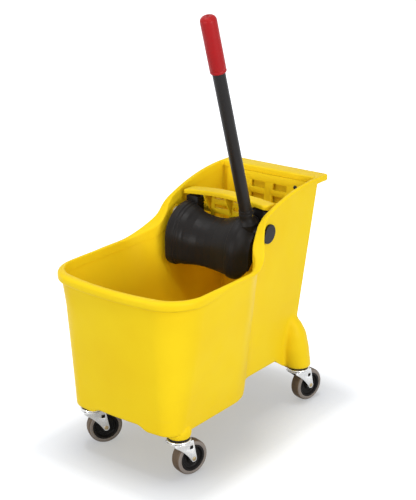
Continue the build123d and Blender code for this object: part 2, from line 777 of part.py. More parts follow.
def caster(corner, x, y, angle):
    """One swivel caster under a corner, with its wheel trailing at an angle from +X."""
    turn = radians(angle)
    plate = Plane(origin=(x, y, 0), x_dir=(cos(turn), sin(turn), 0), z_dir=(0, 0, 1))
    roll = Plane(origin=(x, y, 0), x_dir=(cos(turn), sin(turn), 0), z_dir=(sin(turn), -cos(turn), 0))
    hub = (trail, wheel_radius)

    with BuildPart() as sleeve:
        with BuildSketch(plate.offset(boss_z)):
            Circle(sleeve_radius - running_gap)
            Circle(stem_radius + running_gap, mode=Mode.SUBTRACT)
        extrude(amount=stem_top_z - boss_z)
    export(sleeve, f"caster_sleeve_{corner}")

    with BuildPart() as stem:
        with BuildSketch(plate.offset(fork_plate_z - rivet_gap - rivet_height)):
            Circle(rivet_radius)
        extrude(amount=rivet_height)
        with BuildSketch(plate.offset(fork_plate_z - rivet_gap)):
            Circle(stem_radius)
        extrude(amount=stem_top_z - fork_plate_z + rivet_gap)
    export(stem, f"caster_stem_{corner}")

    with BuildPart() as race:
        with BuildSketch(plate.offset(boss_z)):
            Circle(race_radius)
            Circle(stem_radius + running_gap, mode=Mode.SUBTRACT)
        extrude(amount=fork_plate_z + fork_plate_thickness + clear_gap - boss_z)
        chamfer(race.edges().group_by(Axis.Z)[0].sort_by(SortBy.LENGTH)[-1], race_chamfer)
    export(race, f"caster_race_{corner}")

    with BuildPart() as fork:
        with BuildSketch(plate.offset(fork_plate_z)):
            Circle(fork_plate_radius)
            with Locations((fork_front / 2 - fork_back / 2, 0)):
                Rectangle(fork_front + fork_back, 2 * (fork_inside + fork_sheet))
            Circle(stem_radius + running_gap, mode=Mode.SUBTRACT)
        extrude(amount=fork_plate_thickness)
        for cheek in (roll.offset(fork_inside), roll.offset(-fork_inside - fork_sheet)):
            with BuildSketch(cheek):
                with BuildLine():
                    Polyline(
                        (-fork_back, fork_plate_z + fork_plate_thickness),
                        (fork_front, fork_plate_z + fork_plate_thickness),
                        (trail + eye_radius, wheel_radius),
                        (trail - eye_radius, wheel_radius),
                        (-fork_back + wall, fork_plate_z - wall),
                        close=True,
                    )
                make_face()
                with Locations(hub):
                    Circle(eye_radius)
                    Circle(axle_radius + running_gap, mode=Mode.SUBTRACT)
                with Locations(fork_window):
                    RectangleRounded(window_size, window_size, window_corner, mode=Mode.SUBTRACT)
            extrude(amount=fork_sheet)
    export(fork, f"caster_fork_{corner}")

    with BuildPart() as axle:
        with BuildSketch(roll):
            with Locations(hub):
                Circle(axle_radius)
        extrude(amount=fork_inside + fork_sheet, both=True)
        for head in (fork_inside + fork_sheet, -fork_inside - fork_sheet - axle_head):
            with BuildSketch(roll.offset(head)):
                with Locations(hub):
                    Circle(axle_head_radius)
            extrude(amount=axle_head)
    export(axle, f"caster_axle_{corner}")

    with BuildPart() as bush:
        with BuildSketch(roll):
            with Locations(hub):
                Circle(wheel_bush_radius)
                Circle(axle_radius + running_gap, mode=Mode.SUBTRACT)
        extrude(amount=fork_inside - clear_gap, both=True)
    export(bush, f"caster_bush_{corner}")

    with BuildPart() as core:
        with BuildSketch(roll):
            with Locations(hub):
                Circle(core_radius)
        extrude(amount=core_width / 2, both=True)
        for face in (roll.offset(web / 2), roll.offset(-core_width / 2)):
            with BuildSketch(face):
                with Locations(hub):
                    Circle(dish_radius)
                    Circle(hub_radius, mode=Mode.SUBTRACT)
            extrude(amount=(core_width - web) / 2, mode=Mode.SUBTRACT)
        with BuildSketch(roll):
            with Locations(hub):
                Circle(wheel_bush_radius + running_gap)
        extrude(amount=core_width, both=True, mode=Mode.SUBTRACT)
    export(core, f"caster_core_{corner}")

    with BuildPart() as tyre:
        with BuildSketch(roll):
            with Locations(hub):
                Circle(wheel_radius)
        extrude(amount=tread_width / 2, both=True)
        fillet(tyre.edges().filter_by(GeomType.CIRCLE), tread_round)
        with BuildSketch(roll):
            with Locations(hub):
                Circle(core_radius + running_gap)
        extrude(amount=tread_width, both=True, mode=Mode.SUBTRACT)
    export(tyre, f"caster_tyre_{corner}")


for corner, angle in trail_angles.items():
    caster_side = 1 if corner.endswith("right") else -1
    caster_end = -1 if corner.startswith("front") else 1
    caster(corner, caster_side * caster_x, caster_end * caster_y, angle)
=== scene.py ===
"""Mop bucket with a lever wringer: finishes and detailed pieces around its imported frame."""

import json
import logging
import math
from contextlib import contextmanager
from dataclasses import dataclass, field
from enum import Enum, IntEnum
from typing import Any, Callable, Iterator, Sequence

import bmesh
import bpy
import numpy as np
from mathutils import Matrix, Vector


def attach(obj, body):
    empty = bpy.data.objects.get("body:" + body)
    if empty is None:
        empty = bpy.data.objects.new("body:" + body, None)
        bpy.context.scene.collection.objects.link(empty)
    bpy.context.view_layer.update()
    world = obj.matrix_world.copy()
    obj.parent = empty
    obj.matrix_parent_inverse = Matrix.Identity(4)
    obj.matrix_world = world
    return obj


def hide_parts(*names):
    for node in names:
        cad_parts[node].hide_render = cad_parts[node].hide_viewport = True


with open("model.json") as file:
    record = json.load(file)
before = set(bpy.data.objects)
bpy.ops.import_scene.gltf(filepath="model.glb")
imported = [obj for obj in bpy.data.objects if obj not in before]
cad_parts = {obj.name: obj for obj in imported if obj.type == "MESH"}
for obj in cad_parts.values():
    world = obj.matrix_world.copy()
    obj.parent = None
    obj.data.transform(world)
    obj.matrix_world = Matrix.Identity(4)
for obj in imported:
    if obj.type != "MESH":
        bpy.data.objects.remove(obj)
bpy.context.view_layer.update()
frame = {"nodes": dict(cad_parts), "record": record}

LOG = logging.getLogger("mop_bucket")
MM = 0.001
UP = Vector((0.0, 0.0, 1.0))
SIDES = (-1.0, 1.0)
# The tyre's flanks get a paler colour than its tread: partly the tyre's own two tones, partly painted light
# on the sidewalls that face the lamps.
PALE_LIT_FLANK = "flank"  # attribute that is 1 on the flanks of a tyre
SHARP = 40.0  # degrees past which an edge is drawn sharp, where nothing else is said
WHITE = (1.0, 1.0, 1.0, 1.0)

Array = np.ndarray
Material = bpy.types.Material
Mesh = bpy.types.Mesh
NodeTree = bpy.types.NodeTree
Object = bpy.types.Object
Socket = bpy.types.NodeSocket
Pair = tuple[float, float]
Pairs = tuple[Pair, ...]
Triple = tuple[float, float, float]
Colour = tuple[float, float, float]
Floats = tuple[float, ...]


class Slot(Enum):
    """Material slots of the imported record."""

    YELLOW = "yellow_plastic"
    BLACK = "black_plastic"
    TUBE = "black_steel"
    GRIP = "red_grip"
    ZINC = "zinc_steel"
    TYRE = "grey_tyre"
    NYLON = "pale_nylon"


class Body(Enum):
    """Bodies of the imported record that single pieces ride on."""

    BUCKET = "bucket"
    LEVER = "lever"


@dataclass
class Board:
    """A node tree with short calls for adding and joining its nodes."""

    tree: NodeTree

    @classmethod
    def on(cls, owner: Any) -> "Board":
        """Starts an empty node tree on a material or a world."""
        owner.use_nodes = True
        owner.node_tree.nodes.clear()
        return cls(owner.node_tree)

    def add(self, kind: str, inputs: dict[Any, Any] | None = None, **settings: Any) -> bpy.types.Node:
        """Adds a node.

        Args:
            kind: The node's type name.
            inputs: Values, or sockets to join, by input name or number.
            settings: The node's own settings.

        Returns:
            The new node.
        """
        node = self.tree.nodes.new(kind)
        for name, value in settings.items():
            setattr(node, name, value)
        for name, value in (inputs or {}).items():
            if isinstance(value, Socket):
                self.tree.links.new(value, node.inputs[name])
            else:
                node.inputs[name].default_value = value
        return node

    def link(self, source: Socket, node: bpy.types.Node, name: str) -> None:
        """Joins a socket to one of a node's inputs."""
        self.tree.links.new(source, node.inputs[name])

    def maths(self, operation: str, first: Any, second: Any) -> Socket:
        """Works out a value from two others and returns its socket."""
        return self.add("ShaderNodeMath", {0: first, 1: second}, operation=operation).outputs[0]

    def ranged(self, value: Socket, low: Any, high: Any, to_low: float = 0.0, to_high: float = 1.0) -> Socket:
        """Carries a value from one range to another, clamped.

        Args:
            value: The socket that gives the value.
            low: Value that becomes to_low.
            high: Value that becomes to_high.
            to_low: Result at the low end.
            to_high: Result at the high end.

        Returns:
            The result's socket.
        """
        return self.add("ShaderNodeMapRange", {0: value, 1: low, 2: high, 3: to_low, 4: to_high}).outputs[0]

    def own_place(self) -> Socket:
        """Gives the socket of the piece's own coordinates."""
        return self.add("ShaderNodeTexCoord").outputs["Object"]

    def noise(self, vector: Socket, scale: Any, detail: float = 3.0) -> Socket:
        """Adds a noise texture and returns its value's socket."""
        return self.add("ShaderNodeTexNoise", {"Vector": vector, "Scale": scale, "Detail": detail}).outputs[0]

    def cells(self, vector: Socket, scale: Any) -> Socket:
        """Adds a cell texture and returns its distance's socket."""
        return self.add("ShaderNodeTexVoronoi", {"Vector": vector, "Scale": scale}).outputs[0]

    def mixed(self, factor: Any, first: Any, second: Any) -> Socket:
        """Mixes two colours.

        Args:
            factor: Share of the second colour.
            first: First colour, or its socket.
            second: Second colour, or its socket.

        Returns:
            The mixed colour's socket.
        """
        return self.add("ShaderNodeMix", {0: factor, 6: first, 7: second}, data_type="RGBA").outputs[2]


def shader_group(name: str, inputs: Sequence[str], outputs: Sequence[str]) -> tuple[Board, Any, Any]:
    """Starts a shader node group whose sockets are all single values.

    Args:
        name: The group's name.
        inputs: Names of its inputs.
        outputs: Names of its outputs.

    Returns:
        The group's board, its input node and its output node.
    """
    tree = bpy.data.node_groups.new(name, "ShaderNodeTree")
    for way, titles in (("INPUT", inputs), ("OUTPUT", outputs)):
        for title in titles:
            tree.interface.new_socket(title, in_out=way, socket_type="NodeSocketFloat")
    board = Board(tree)
    return board, board.add("NodeGroupInput"), board.add("NodeGroupOutput")


@dataclass
class Effects:
    """Shader node groups that more than one finish uses, and the bands of noise that they draw on."""

    shade_band: Pair = (0.35, 0.65)
    gloss_band: Pair = (0.3, 0.7)
    gloss_pace: float = 3.7
    streaks: tuple[tuple[Triple, float], ...] = (((0.5, 0.3, 0.3), 22.0), ((-0.9, -0.54, 0.3), 15.0))
    streak_band: Pair = (0.66, 0.74)
    patch_scale: float = 6.0
    patch_band: Pair = (0.42, 0.62)
    least_marks: float = 0.15
    draw_stretch: Triple = (1.0, 1.0, 9.0)
    crystal_scale: float = 260.0
    blotch_scale: float = 70.0
    mottle_band: Pair = (0.5, 1.3)
    grain_detail: float = 4.0
    shade_detail: float = 5.0
    gloss_detail: float = 6.0
    streak_detail: float = 2.0
    line_detail: float = 2.0
    blotch_detail: float = 4.0

    def __post_init__(self) -> None:
        """Builds each group once."""
        self.moulded = self._moulded()
        self.scuffed = self._scuffed()
        self.brushed = self._brushed()

    def _moulded(self) -> NodeTree:
        """Fine mould texture, with slow changes of shade and gloss over a large piece."""
        board, given, result = shader_group(
            "moulded_surface", ["Grain", "Drift"], ["Height", "Shade", "Gloss"])
        grain, drift = given.outputs["Grain"], given.outputs["Drift"]
        place = board.own_place()
        speckle = board.noise(place, grain, self.grain_detail)
        height = board.maths("ADD", speckle, board.cells(place, grain))
        shade = board.noise(place, drift, self.shade_detail)
        pace = board.maths("MULTIPLY", drift, self.gloss_pace)
        gloss = board.noise(place, pace, self.gloss_detail)
        board.link(height, result, "Height")
        board.link(board.ranged(shade, *self.shade_band), result, "Shade")
        board.link(board.ranged(gloss, *self.gloss_band), result, "Gloss")
        return board.tree

    def _scuffed(self) -> NodeTree:
        """Thin marks across a piece, thicker towards the floor."""
        board, given, result = shader_group("scuff_marks", ["Length", "Amount", "Top"], ["Marks"])
        place = board.own_place()
        masks = []
        for turn, stretch in self.streaks:
            spread = board.add("ShaderNodeMapping", {
                "Vector": place, "Rotation": turn, "Scale": (1.0, 1.0, stretch)})
            streak = board.noise(spread.outputs[0], given.outputs["Length"], self.streak_detail)
            masks.append(board.ranged(streak, *self.streak_band))
        patch = board.ranged(board.noise(place, self.patch_scale), *self.patch_band)
        height = board.add("ShaderNodeSeparateXYZ", {0: place}).outputs["Z"]
        low = board.ranged(height, 0.0, given.outputs["Top"], 1.0, self.least_marks)
        marks = board.maths("MAXIMUM", *masks)
        for share in (patch, low, given.outputs["Amount"]):
            marks = board.maths("MULTIPLY", marks, share)
        board.link(marks, result, "Marks")
        return board.tree

    def _brushed(self) -> NodeTree:
        """Crystalline mottle and fine draw lines of plated sheet metal."""
        board, given, result = shader_group("plated_sheet", ["Grain"], ["Height", "Mottle"])
        place = board.own_place()
        spread = board.add("ShaderNodeMapping", {"Vector": place, "Scale": self.draw_stretch}).outputs[0]
        lines = board.noise(spread, given.outputs["Grain"], self.line_detail)
        crystal = board.cells(place, self.crystal_scale)
        blotch = board.noise(place, self.blotch_scale, self.blotch_detail)
        mottle = board.maths("ADD", crystal, blotch)
        board.link(lines, result, "Height")
        board.link(board.ranged(mottle, *self.mottle_band), result, "Mottle")
        return board.tree


@dataclass(frozen=True)
class Finish:
    """A procedural finish: colour, its shade and marks, gloss range and surface texture."""

    name: str
    colour: Colour
    shade: Colour
    mark: Colour
    rough: Pair
    metal: float = 0.0
    sheen: float = 0.5
    grain: float = 900.0
    drift: float = 7.0
    bump: float = 0.12
    depth: float = 0.0004
    marks: float = 0.25
    mark_length: float = 9.0
    mark_top: float = 0.35
    plated: bool = False
    # paler colour of a tyre's flanks: partly its own tone, partly painted light on the sidewalls
    flank: Colour | None = None

    def build(self, effects: Effects) -> Material:
        """Builds the finish as a material.

        Args:
            effects: The shared shader groups.

        Returns:
            The new material.
        """
        material = bpy.data.materials.new(self.name)
        board = Board.on(material)
        output = board.add("ShaderNodeOutputMaterial")
        shader = board.add("ShaderNodeBsdfPrincipled", {
            "Metallic": self.metal, "Specular IOR Level": self.sheen})
        board.link(shader.outputs[0], output, "Surface")
        shade, gloss, height = self._surface(board, effects)
        scuffs = self._group(board, effects.scuffed, {
            "Length": self.mark_length, "Amount": self.marks, "Top": self.mark_top})
        base = board.mixed(shade, (*self.colour, 1.0), (*self.shade, 1.0))
        # paler flanks of a tyre: partly its own tone, partly painted light on the lit sidewalls
        if self.flank:
            side = board.add("ShaderNodeAttribute", attribute_name=PALE_LIT_FLANK).outputs["Fac"]
            base = board.mixed(side, base, (*self.flank, 1.0))
        base = board.mixed(scuffs["Marks"], base, (*self.mark, 1.0))
        bump = board.add("ShaderNodeBump", {"Strength": self.bump, "Distance": self.depth, "Height": height})
        board.link(base, shader, "Base Color")
        board.link(board.ranged(gloss, 0.0, 1.0, *self.rough), shader, "Roughness")
        board.link(bump.outputs[0], shader, "Normal")
        return material

    @staticmethod
    def _group(board: Board, tree: NodeTree, values: dict[str, float]) -> Any:
        """Places a shared group in the material with its own values, and returns its outputs."""
        return board.add("ShaderNodeGroup", values, node_tree=tree).outputs

    def _surface(self, board: Board, effects: Effects) -> tuple[Socket, Socket, Socket]:
        """Places the moulded or the plated texture.

        Args:
            board: The material's board.
            effects: The shared shader groups.

        Returns:
            Sockets for the shade, the gloss and the height.
        """
        if self.plated:
            sheet = self._group(board, effects.brushed, {"Grain": self.grain})
            return sheet["Mottle"], sheet["Mottle"], sheet["Height"]
        skin = self._group(board, effects.moulded, {"Grain": self.grain, "Drift": self.drift})
        return skin["Shade"], skin["Gloss"], skin["Height"]


FINISHES = {
    Slot.YELLOW: Finish(
        "yellow_polyethylene", (0.93, 0.66, 0.012), (0.905, 0.62, 0.010), (0.80, 0.56, 0.05), (0.36, 0.48),
        sheen=0.08,
    ),
    Slot.BLACK: Finish(
        "black_polypropylene", (0.0115, 0.0101, 0.0097), (0.0145, 0.013, 0.0125), (0.03, 0.03, 0.03),
        (0.33, 0.46), sheen=0.13, grain=700.0, bump=0.18, marks=0.3, mark_top=0.9,
    ),
    Slot.TUBE: Finish(
        "black_powder_coat", (0.0115, 0.0098, 0.0094), (0.0145, 0.0128, 0.0123), (0.04, 0.04, 0.04),
        (0.32, 0.44), sheen=0.2, grain=1500.0, bump=0.2, marks=0.3, mark_top=1.2,
    ),
    Slot.GRIP: Finish(
        "red_vinyl", (0.44, 0.010, 0.012), (0.38, 0.008, 0.010), (0.34, 0.05, 0.045), (0.36, 0.48), sheen=0.2,
        grain=1100.0, marks=0.2, mark_top=1.5,
    ),
    Slot.ZINC: Finish(
        "bright_zinc", (0.80, 0.80, 0.79), (0.66, 0.66, 0.66), (0.5, 0.49, 0.47), (0.14, 0.30), metal=1.0,
        grain=420.0, bump=0.08, marks=0.3, plated=True,
    ),
    Slot.TYRE: Finish(
        "grey_tread", (0.165, 0.118, 0.078), (0.125, 0.088, 0.058), (0.24, 0.19, 0.14), (0.42, 0.56),
        sheen=0.12, grain=800.0, drift=30.0, bump=0.25, marks=0.4, mark_top=0.1, flank=(0.25, 0.215, 0.19),
    ),
    Slot.NYLON: Finish(
        "natural_nylon", (0.68, 0.66, 0.6), (0.62, 0.6, 0.54), (0.5, 0.48, 0.42), (0.4, 0.5), marks=0.1,
    ),
}

DARK_SCREW = Finish(
    "dark_screw", (0.045, 0.042, 0.04), (0.03, 0.028, 0.027), (0.12, 0.11, 0.1), (0.35, 0.5), metal=0.8,
    grain=500.0, marks=0.2, plated=True,
)

BRASS_RIVET = Finish(
    "brass_rivet", (0.50, 0.39, 0.22), (0.40, 0.31, 0.18), (0.3, 0.25, 0.17), (0.28, 0.42), metal=1.0,
    grain=500.0, bump=0.06, marks=0.2, plated=True,
)


def smooth_step(value: Array, low: float, high: float) -> Array:
    """Rises from 0 at low to 1 at high with level ends."""
    share = np.clip((value - low) / (high - low), 0.0, 1.0)
    return share * share * (3.0 - 2.0 * share)


def eased(at: Array, places: Sequence[float], values: Sequence[float], width: float,
          samples: int = 9) -> Array:
    """Follows straight runs between given values, with the corners averaged away.

    Args:
        at: Where to read it.
        places: Places of the given values, rising.
        values: The given values.
        width: Half the stretch that is averaged.
        samples: Readings in that stretch.

    Returns:
        The eased values.
    """
    offsets = np.linspace(-width, width, samples)
    return np.mean([np.interp(at + shift, places, values) for shift in offsets], axis=0)


def new_object(name: str, data: Any) -> Object:
    """Links a mesh, a lamp or a camera into the scene as an object at the origin."""
    made = bpy.data.objects.new(name, data)
    bpy.context.scene.collection.objects.link(made)
    return made


@contextmanager
def edited(mesh: Mesh) -> Iterator[bmesh.types.BMesh]:
    """Opens a mesh for editing, and writes the result back into it at the end."""
    work = bmesh.new()
    work.from_mesh(mesh)
    yield work
    work.to_mesh(mesh)
    work.free()


def shaded(mesh: Mesh, sharp: float = SHARP) -> Mesh:
    """Shades a mesh smooth, with its edges past an angle in degrees drawn sharp."""
    mesh.polygons.foreach_set("use_smooth", [True] * len(mesh.polygons))
    mesh.set_sharp_from_angle(angle=math.radians(sharp))
    return mesh


def skinned(name: str, rows: Sequence[Array], sharp: float = SHARP, merge: float = 2e-5) -> Mesh:
    """Skins a stack of closed rings into a mesh.

    Args:
        name: The mesh's name.
        rows: Rings of points, all with the same count, in metres.
        sharp: Angle in degrees past which an edge is drawn sharp.
        merge: Distance under which points are merged.

    Returns:
        A merged mesh with its faces outwards.
    """
    count = len(rows[0])
    faces = []
    for row in range(len(rows) - 1):
        here, there = row * count, (row + 1) * count
        for step in range(count):
            after = (step + 1) % count
            faces.append((here + step, here + after, there + after, there + step))
    mesh = bpy.data.meshes.new(name)
    mesh.from_pydata([tuple(point) for point in np.concatenate(rows)], [], faces)
    with edited(mesh) as work:
        bmesh.ops.remove_doubles(work, verts=work.verts, dist=merge)
        bmesh.ops.dissolve_degenerate(work, edges=work.edges, dist=merge)
        bmesh.ops.recalc_face_normals(work, faces=work.faces)
    return shaded(mesh, sharp)


def joined(name: str, meshes: Sequence[Mesh]) -> Mesh:
    """Puts several meshes into one, each as its own closed island."""
    whole = bpy.data.meshes.new(name)
    with edited(whole) as work:
        for mesh in meshes:
            work.from_mesh(mesh)
    return shaded(whole)


def lathe(name: str, profile: Sequence[Pair], place: Vector, axis: Vector = UP,
          steps: int = 48) -> Mesh:
    """Turns a profile about an axis.

    Args:
        name: The mesh's name.
        profile: Distances from the axis and along it, in metres, from one end to the other.
        place: Where the axis starts.
        axis: Direction of the axis.
        steps: Points in a full turn.

    Returns:
        The turned mesh.
    """
    along = axis.normalized()
    side = along.orthogonal().normalized()
    across = along.cross(side)
    angles = np.linspace(0.0, 2.0 * math.pi, steps, endpoint=False)
    ring = np.outer(np.cos(angles), side) + np.outer(np.sin(angles), across)
    rows = [np.array(place) + height * np.array(along) + radius * ring for radius, height in profile]
    return skinned(name, rows)


def ringed(profile: Sequence[Pair]) -> list[Pair]:
    """Closes a lathe profile onto its own start, for a ring with a bore."""
    return [*profile, profile[0]]


def mirrored(profile: Sequence[Pair]) -> list[Pair]:
    """Follows a lathe profile and then its mirror image back, for a shape with two like ends."""
    return [*profile, *((radius, -height) for radius, height in reversed(profile))]


def in_metres(profile: Sequence[Pair]) -> list[Pair]:
    """Carries a flat profile from millimetres to metres."""
    return [(first * MM, second * MM) for first, second in profile]


def arc_points(centre: Pair, radius: float, start: float, end: float, steps: int) -> list[Pair]:
    """Points along an arc, its angles in degrees."""
    turns = np.radians(np.linspace(start, end, steps))
    return [(centre[0] + radius * math.cos(turn), centre[1] + radius * math.sin(turn)) for turn in turns]


def rounded_loop(corners: Sequence[Pair], radii: Sequence[float], steps: int = 6) -> list[Pair]:
    """Rounds the corners of a flat loop.

    Args:
        corners: The loop's corners.
        radii: Radius at each corner.
        steps: Points along each round.

    Returns:
        Points along the rounded loop.
    """
    made = []
    for number, corner in enumerate(corners):
        here = np.array(corner, float)
        back = np.array(corners[number - 1], float) - here
        ahead = np.array(corners[(number + 1) % len(corners)], float) - here
        back /= np.linalg.norm(back)
        ahead /= np.linalg.norm(ahead)
        half = math.acos(float(np.clip(back @ ahead, -1.0, 1.0))) / 2.0
        middle = here + (back + ahead) / np.linalg.norm(back + ahead) * radii[number] / math.sin(half)
        start = here + back * radii[number] / math.tan(half) - middle
        end = here + ahead * radii[number] / math.tan(half) - middle
        for share in np.linspace(0.0, 1.0, steps):
            spoke = start * (1.0 - share) + end * share
            spoke *= radii[number] / np.linalg.norm(spoke)
            made.append(tuple(middle + spoke))
    return made


def box_loop(low: Pair, high: Pair, radius: float) -> list[Pair]:
    """An upright box with rounded corners, from its lower left corner to its upper right one."""
    return rounded_loop([low, (high[0], low[1]), high, (low[0], high[1])], [radius] * 4)


def softened(mesh: Mesh, width: float, steps: int = 2, angle: float = 50.0,
             sharp: float = 35.0) -> Mesh:
    """Rounds a mesh's sharp edges.

    Args:
        mesh: The mesh to change, in place.
        width: Width of the round.
        steps: Segments across the round.
        angle: Angle in degrees past which an edge is rounded.
        sharp: Angle in degrees past which an edge is drawn sharp afterwards.

    Returns:
        The same mesh.
    """
    least = math.radians(angle)
    with edited(mesh) as work:
        bmesh.ops.recalc_face_normals(work, faces=work.faces)
        edges = [edge for edge in work.edges
                 if len(edge.link_faces) == 2 and edge.calc_face_angle(0.0) > least]
        bmesh.ops.bevel(work, geom=edges, offset=width, segments=steps, profile=0.5, affect="EDGES",
                        clamp_overlap=True)
    return shaded(mesh, sharp)


def prism(name: str, corners: Sequence[Vector], depth: Vector, soft: float) -> Mesh:
    """Draws a flat polygon out along a direction and softens its edges."""
    mesh = bpy.data.meshes.new(name)
    with edited(mesh) as work:
        face = work.faces.new([work.verts.new(corner) for corner in corners])
        grown = bmesh.ops.extrude_face_region(work, geom=[face])["geom"]
        moved = [item for item in grown if isinstance(item, bmesh.types.BMVert)]
        bmesh.ops.translate(work, verts=moved, vec=depth)
    return softened(mesh, soft)


def loop_mesh(name: str, *loops: Sequence[Pair]) -> Mesh:
    """Lays closed loops of edges flat as a mesh, for a tree to fill."""
    points, edges = [], []
    for loop in loops:
        first = len(points)
        points += [(x, y, 0.0) for x, y in loop]
        edges += [(first + step, first + (step + 1) % len(loop)) for step in range(len(loop))]
    mesh = bpy.data.meshes.new(name)
    mesh.from_pydata(points, edges, [])
    return mesh


class GeometryTree:
    """A geometry node tree with named inputs, built once and run on plain meshes."""

    def __init__(self, name: str, inputs: dict[str, str]) -> None:
        """Opens the tree.

        Args:
            name: The tree's name.
            inputs: Socket types by input name.
        """
        self.tree = bpy.data.node_groups.new(name, "GeometryNodeTree")
        face = self.tree.interface
        face.new_socket("Geometry", in_out="INPUT", socket_type="NodeSocketGeometry")
        for title, kind in {**inputs, "Material": "NodeSocketMaterial"}.items():
            face.new_socket(title, in_out="INPUT", socket_type=kind)
        face.new_socket("Geometry", in_out="OUTPUT", socket_type="NodeSocketGeometry")
        self.board = Board(self.tree)
        self.given = self.board.add("NodeGroupInput").outputs
        self.result = self.board.add("NodeGroupOutput")

    def join(self, *parts: Socket) -> Socket:
        """Joins several geometries."""
        node = self.board.add("GeometryNodeJoinGeometry")
        for part in parts:
            self.tree.links.new(part, node.inputs[0])
        return node.outputs[0]

    def close(self, geometry: Socket) -> None:
        """Ends the tree with its instances made real and its material set."""
        real = self.board.add("GeometryNodeRealizeInstances", {0: geometry}).outputs[0]
        dressed = self.board.add("GeometryNodeSetMaterial", {
            "Geometry": real, "Material": self.given["Material"]})
        self.board.link(dressed.outputs[0], self.result, "Geometry")

    def run(self, base: Mesh, values: dict[str, Any]) -> Mesh:
        """Runs the tree on a mesh.

        Args:
            base: The mesh that the tree starts from.
            values: Input values by name.

        Returns:
            The result as a plain mesh.
        """
        holder = new_object("holder", base)
        modifier = holder.modifiers.new("nodes", "NODES")
        modifier.node_group = self.tree
        for item in self.tree.interface.items_tree:
            if item.in_out == "INPUT" and item.name in values:
                modifier[item.identifier] = values[item.name]
        graph = bpy.context.evaluated_depsgraph_get()
        made = bpy.data.meshes.new_from_object(holder.evaluated_get(graph))
        bpy.data.objects.remove(holder)
        return made


@dataclass
class Trees:
    """Geometry node trees for pieces made of repeated shapes."""

    slot_corner_steps: int = 4
    merge: float = 1e-5

    def __post_init__(self) -> None:
        """Builds each tree once."""
        self.sheet = self._sheet()
        self.copies = self._copies()

    def _sheet(self) -> GeometryTree:
        """A flat sheet inside an outline, with a grid of rounded slots, drawn out to a thickness."""
        number, whole = "NodeSocketFloat", "NodeSocketInt"
        made = GeometryTree("slotted_sheet", {
            "Columns": whole, "Rows": whole, "Pitch X": number, "Pitch Y": number, "Slot Width": number,
            "Slot Height": number, "Slot Corner": number, "Centre": "NodeSocketVector", "Thickness": number})
        board, given = made.board, made.given

        def span(count: str, pitch: str) -> Socket:
            """Length from the first slot to the last one."""
            return board.maths("MULTIPLY", board.maths("SUBTRACT", given[count], 1.0), given[pitch])

        outline = board.add("GeometryNodeMeshToCurve", {"Mesh": given["Geometry"]}).outputs[0]
        grid = board.add("GeometryNodeMeshGrid", {
            "Size X": span("Columns", "Pitch X"), "Size Y": span("Rows", "Pitch Y"),
            "Vertices X": given["Columns"], "Vertices Y": given["Rows"]}).outputs[0]
        places = board.add("GeometryNodeTransform", {
            "Geometry": grid, "Translation": given["Centre"]}).outputs[0]
        slot = board.add("GeometryNodeCurvePrimitiveQuadrilateral", {
            "Width": given["Slot Width"], "Height": given["Slot Height"]}).outputs[0]
        rounded = board.add("GeometryNodeFilletCurve", {
            "Curve": slot, "Count": self.slot_corner_steps, "Radius": given["Slot Corner"],
        }, mode="POLY").outputs[0]
        slots = board.add("GeometryNodeInstanceOnPoints", {"Points": places, "Instance": rounded}).outputs[0]
        loops = made.join(outline, board.add("GeometryNodeRealizeInstances", {0: slots}).outputs[0])
        face = board.add("GeometryNodeFillCurve", {"Curve": loops}, mode="NGONS").outputs[0]
        drawn = board.add("GeometryNodeExtrudeMesh", {
            "Mesh": face, "Offset Scale": given["Thickness"], "Individual": False}).outputs[0]
        under = board.add("GeometryNodeFlipFaces", {0: face}).outputs[0]
        made.close(board.add("GeometryNodeMergeByDistance", {
            "Geometry": made.join(drawn, under), "Distance": self.merge}).outputs[0])
        return made

    @staticmethod
    def _copies() -> GeometryTree:
        """Copies of one object at the points of a mesh, all turned the same way."""
        made = GeometryTree("set_copies", {"Object": "NodeSocketObject", "Rotation": "NodeSocketRotation"})
        board, given = made.board, made.given
        item = board.add("GeometryNodeObjectInfo", {"Object": given["Object"]}).outputs["Geometry"]
        made.close(board.add("GeometryNodeInstanceOnPoints", {
            "Points": given["Geometry"], "Instance": item, "Rotation": given["Rotation"]}).outputs[0])
        return made


@dataclass(frozen=True)
class SlotGrid:
    """A grid of rounded slots in a sheet, in metres."""

    columns: int = 0
    rows: int = 0
    pitch: Pair = (0.0, 0.0)
    slot: Pair = (0.001, 0.001)
    corner: float = 0.0001
    centre: Pair = (0.0, 0.0)

    def inputs(self, thickness: float) -> dict[str, Any]:
        """Gives the inputs of the slotted sheet's tree, for a sheet of this thickness."""
        return {
            "Columns": self.columns, "Rows": self.rows, "Pitch X": self.pitch[0], "Pitch Y": self.pitch[1],
            "Slot Width": self.slot[0], "Slot Height": self.slot[1], "Slot Corner": self.corner,
            "Centre": (*self.centre, 0.0), "Thickness": thickness,
        }


@dataclass
class Workshop:
    """Finishes and trees that every sub-assembly draws on."""

    materials: dict[Slot, Material]
    trees: Trees
    screw: Material
    rivet: Material

    def sheet(self, loops: Sequence[Sequence[Pair]], thickness: float,
              grid: SlotGrid = SlotGrid()) -> Mesh:
        """Makes a flat sheet inside its first loop, less the other loops and the slots of the grid."""
        return self.trees.sheet.run(loop_mesh("sheet_outline", *loops), grid.inputs(thickness))

    def place(self, name: str, mesh: Mesh, slot: Slot, body: str, *nodes: str,
              look: Material | None = None) -> Object:
        """Adds a finished piece to the frame.

        Args:
            name: The piece's name.
            mesh: Its mesh, in place.
            slot: Its material slot.
            body: The body that carries it.
            nodes: Nodes of the frame that it is shown in place of.
            look: Its material, where that isn't the slot's own.

        Returns:
            The piece.
        """
        piece = new_object(name, mesh)
        mesh.materials.clear()
        mesh.materials.append(look or self.materials[slot])
        if nodes:
            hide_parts(*nodes)
        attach(piece, body)
        LOG.info("%s: %d faces", name, len(mesh.polygons))
        return piece


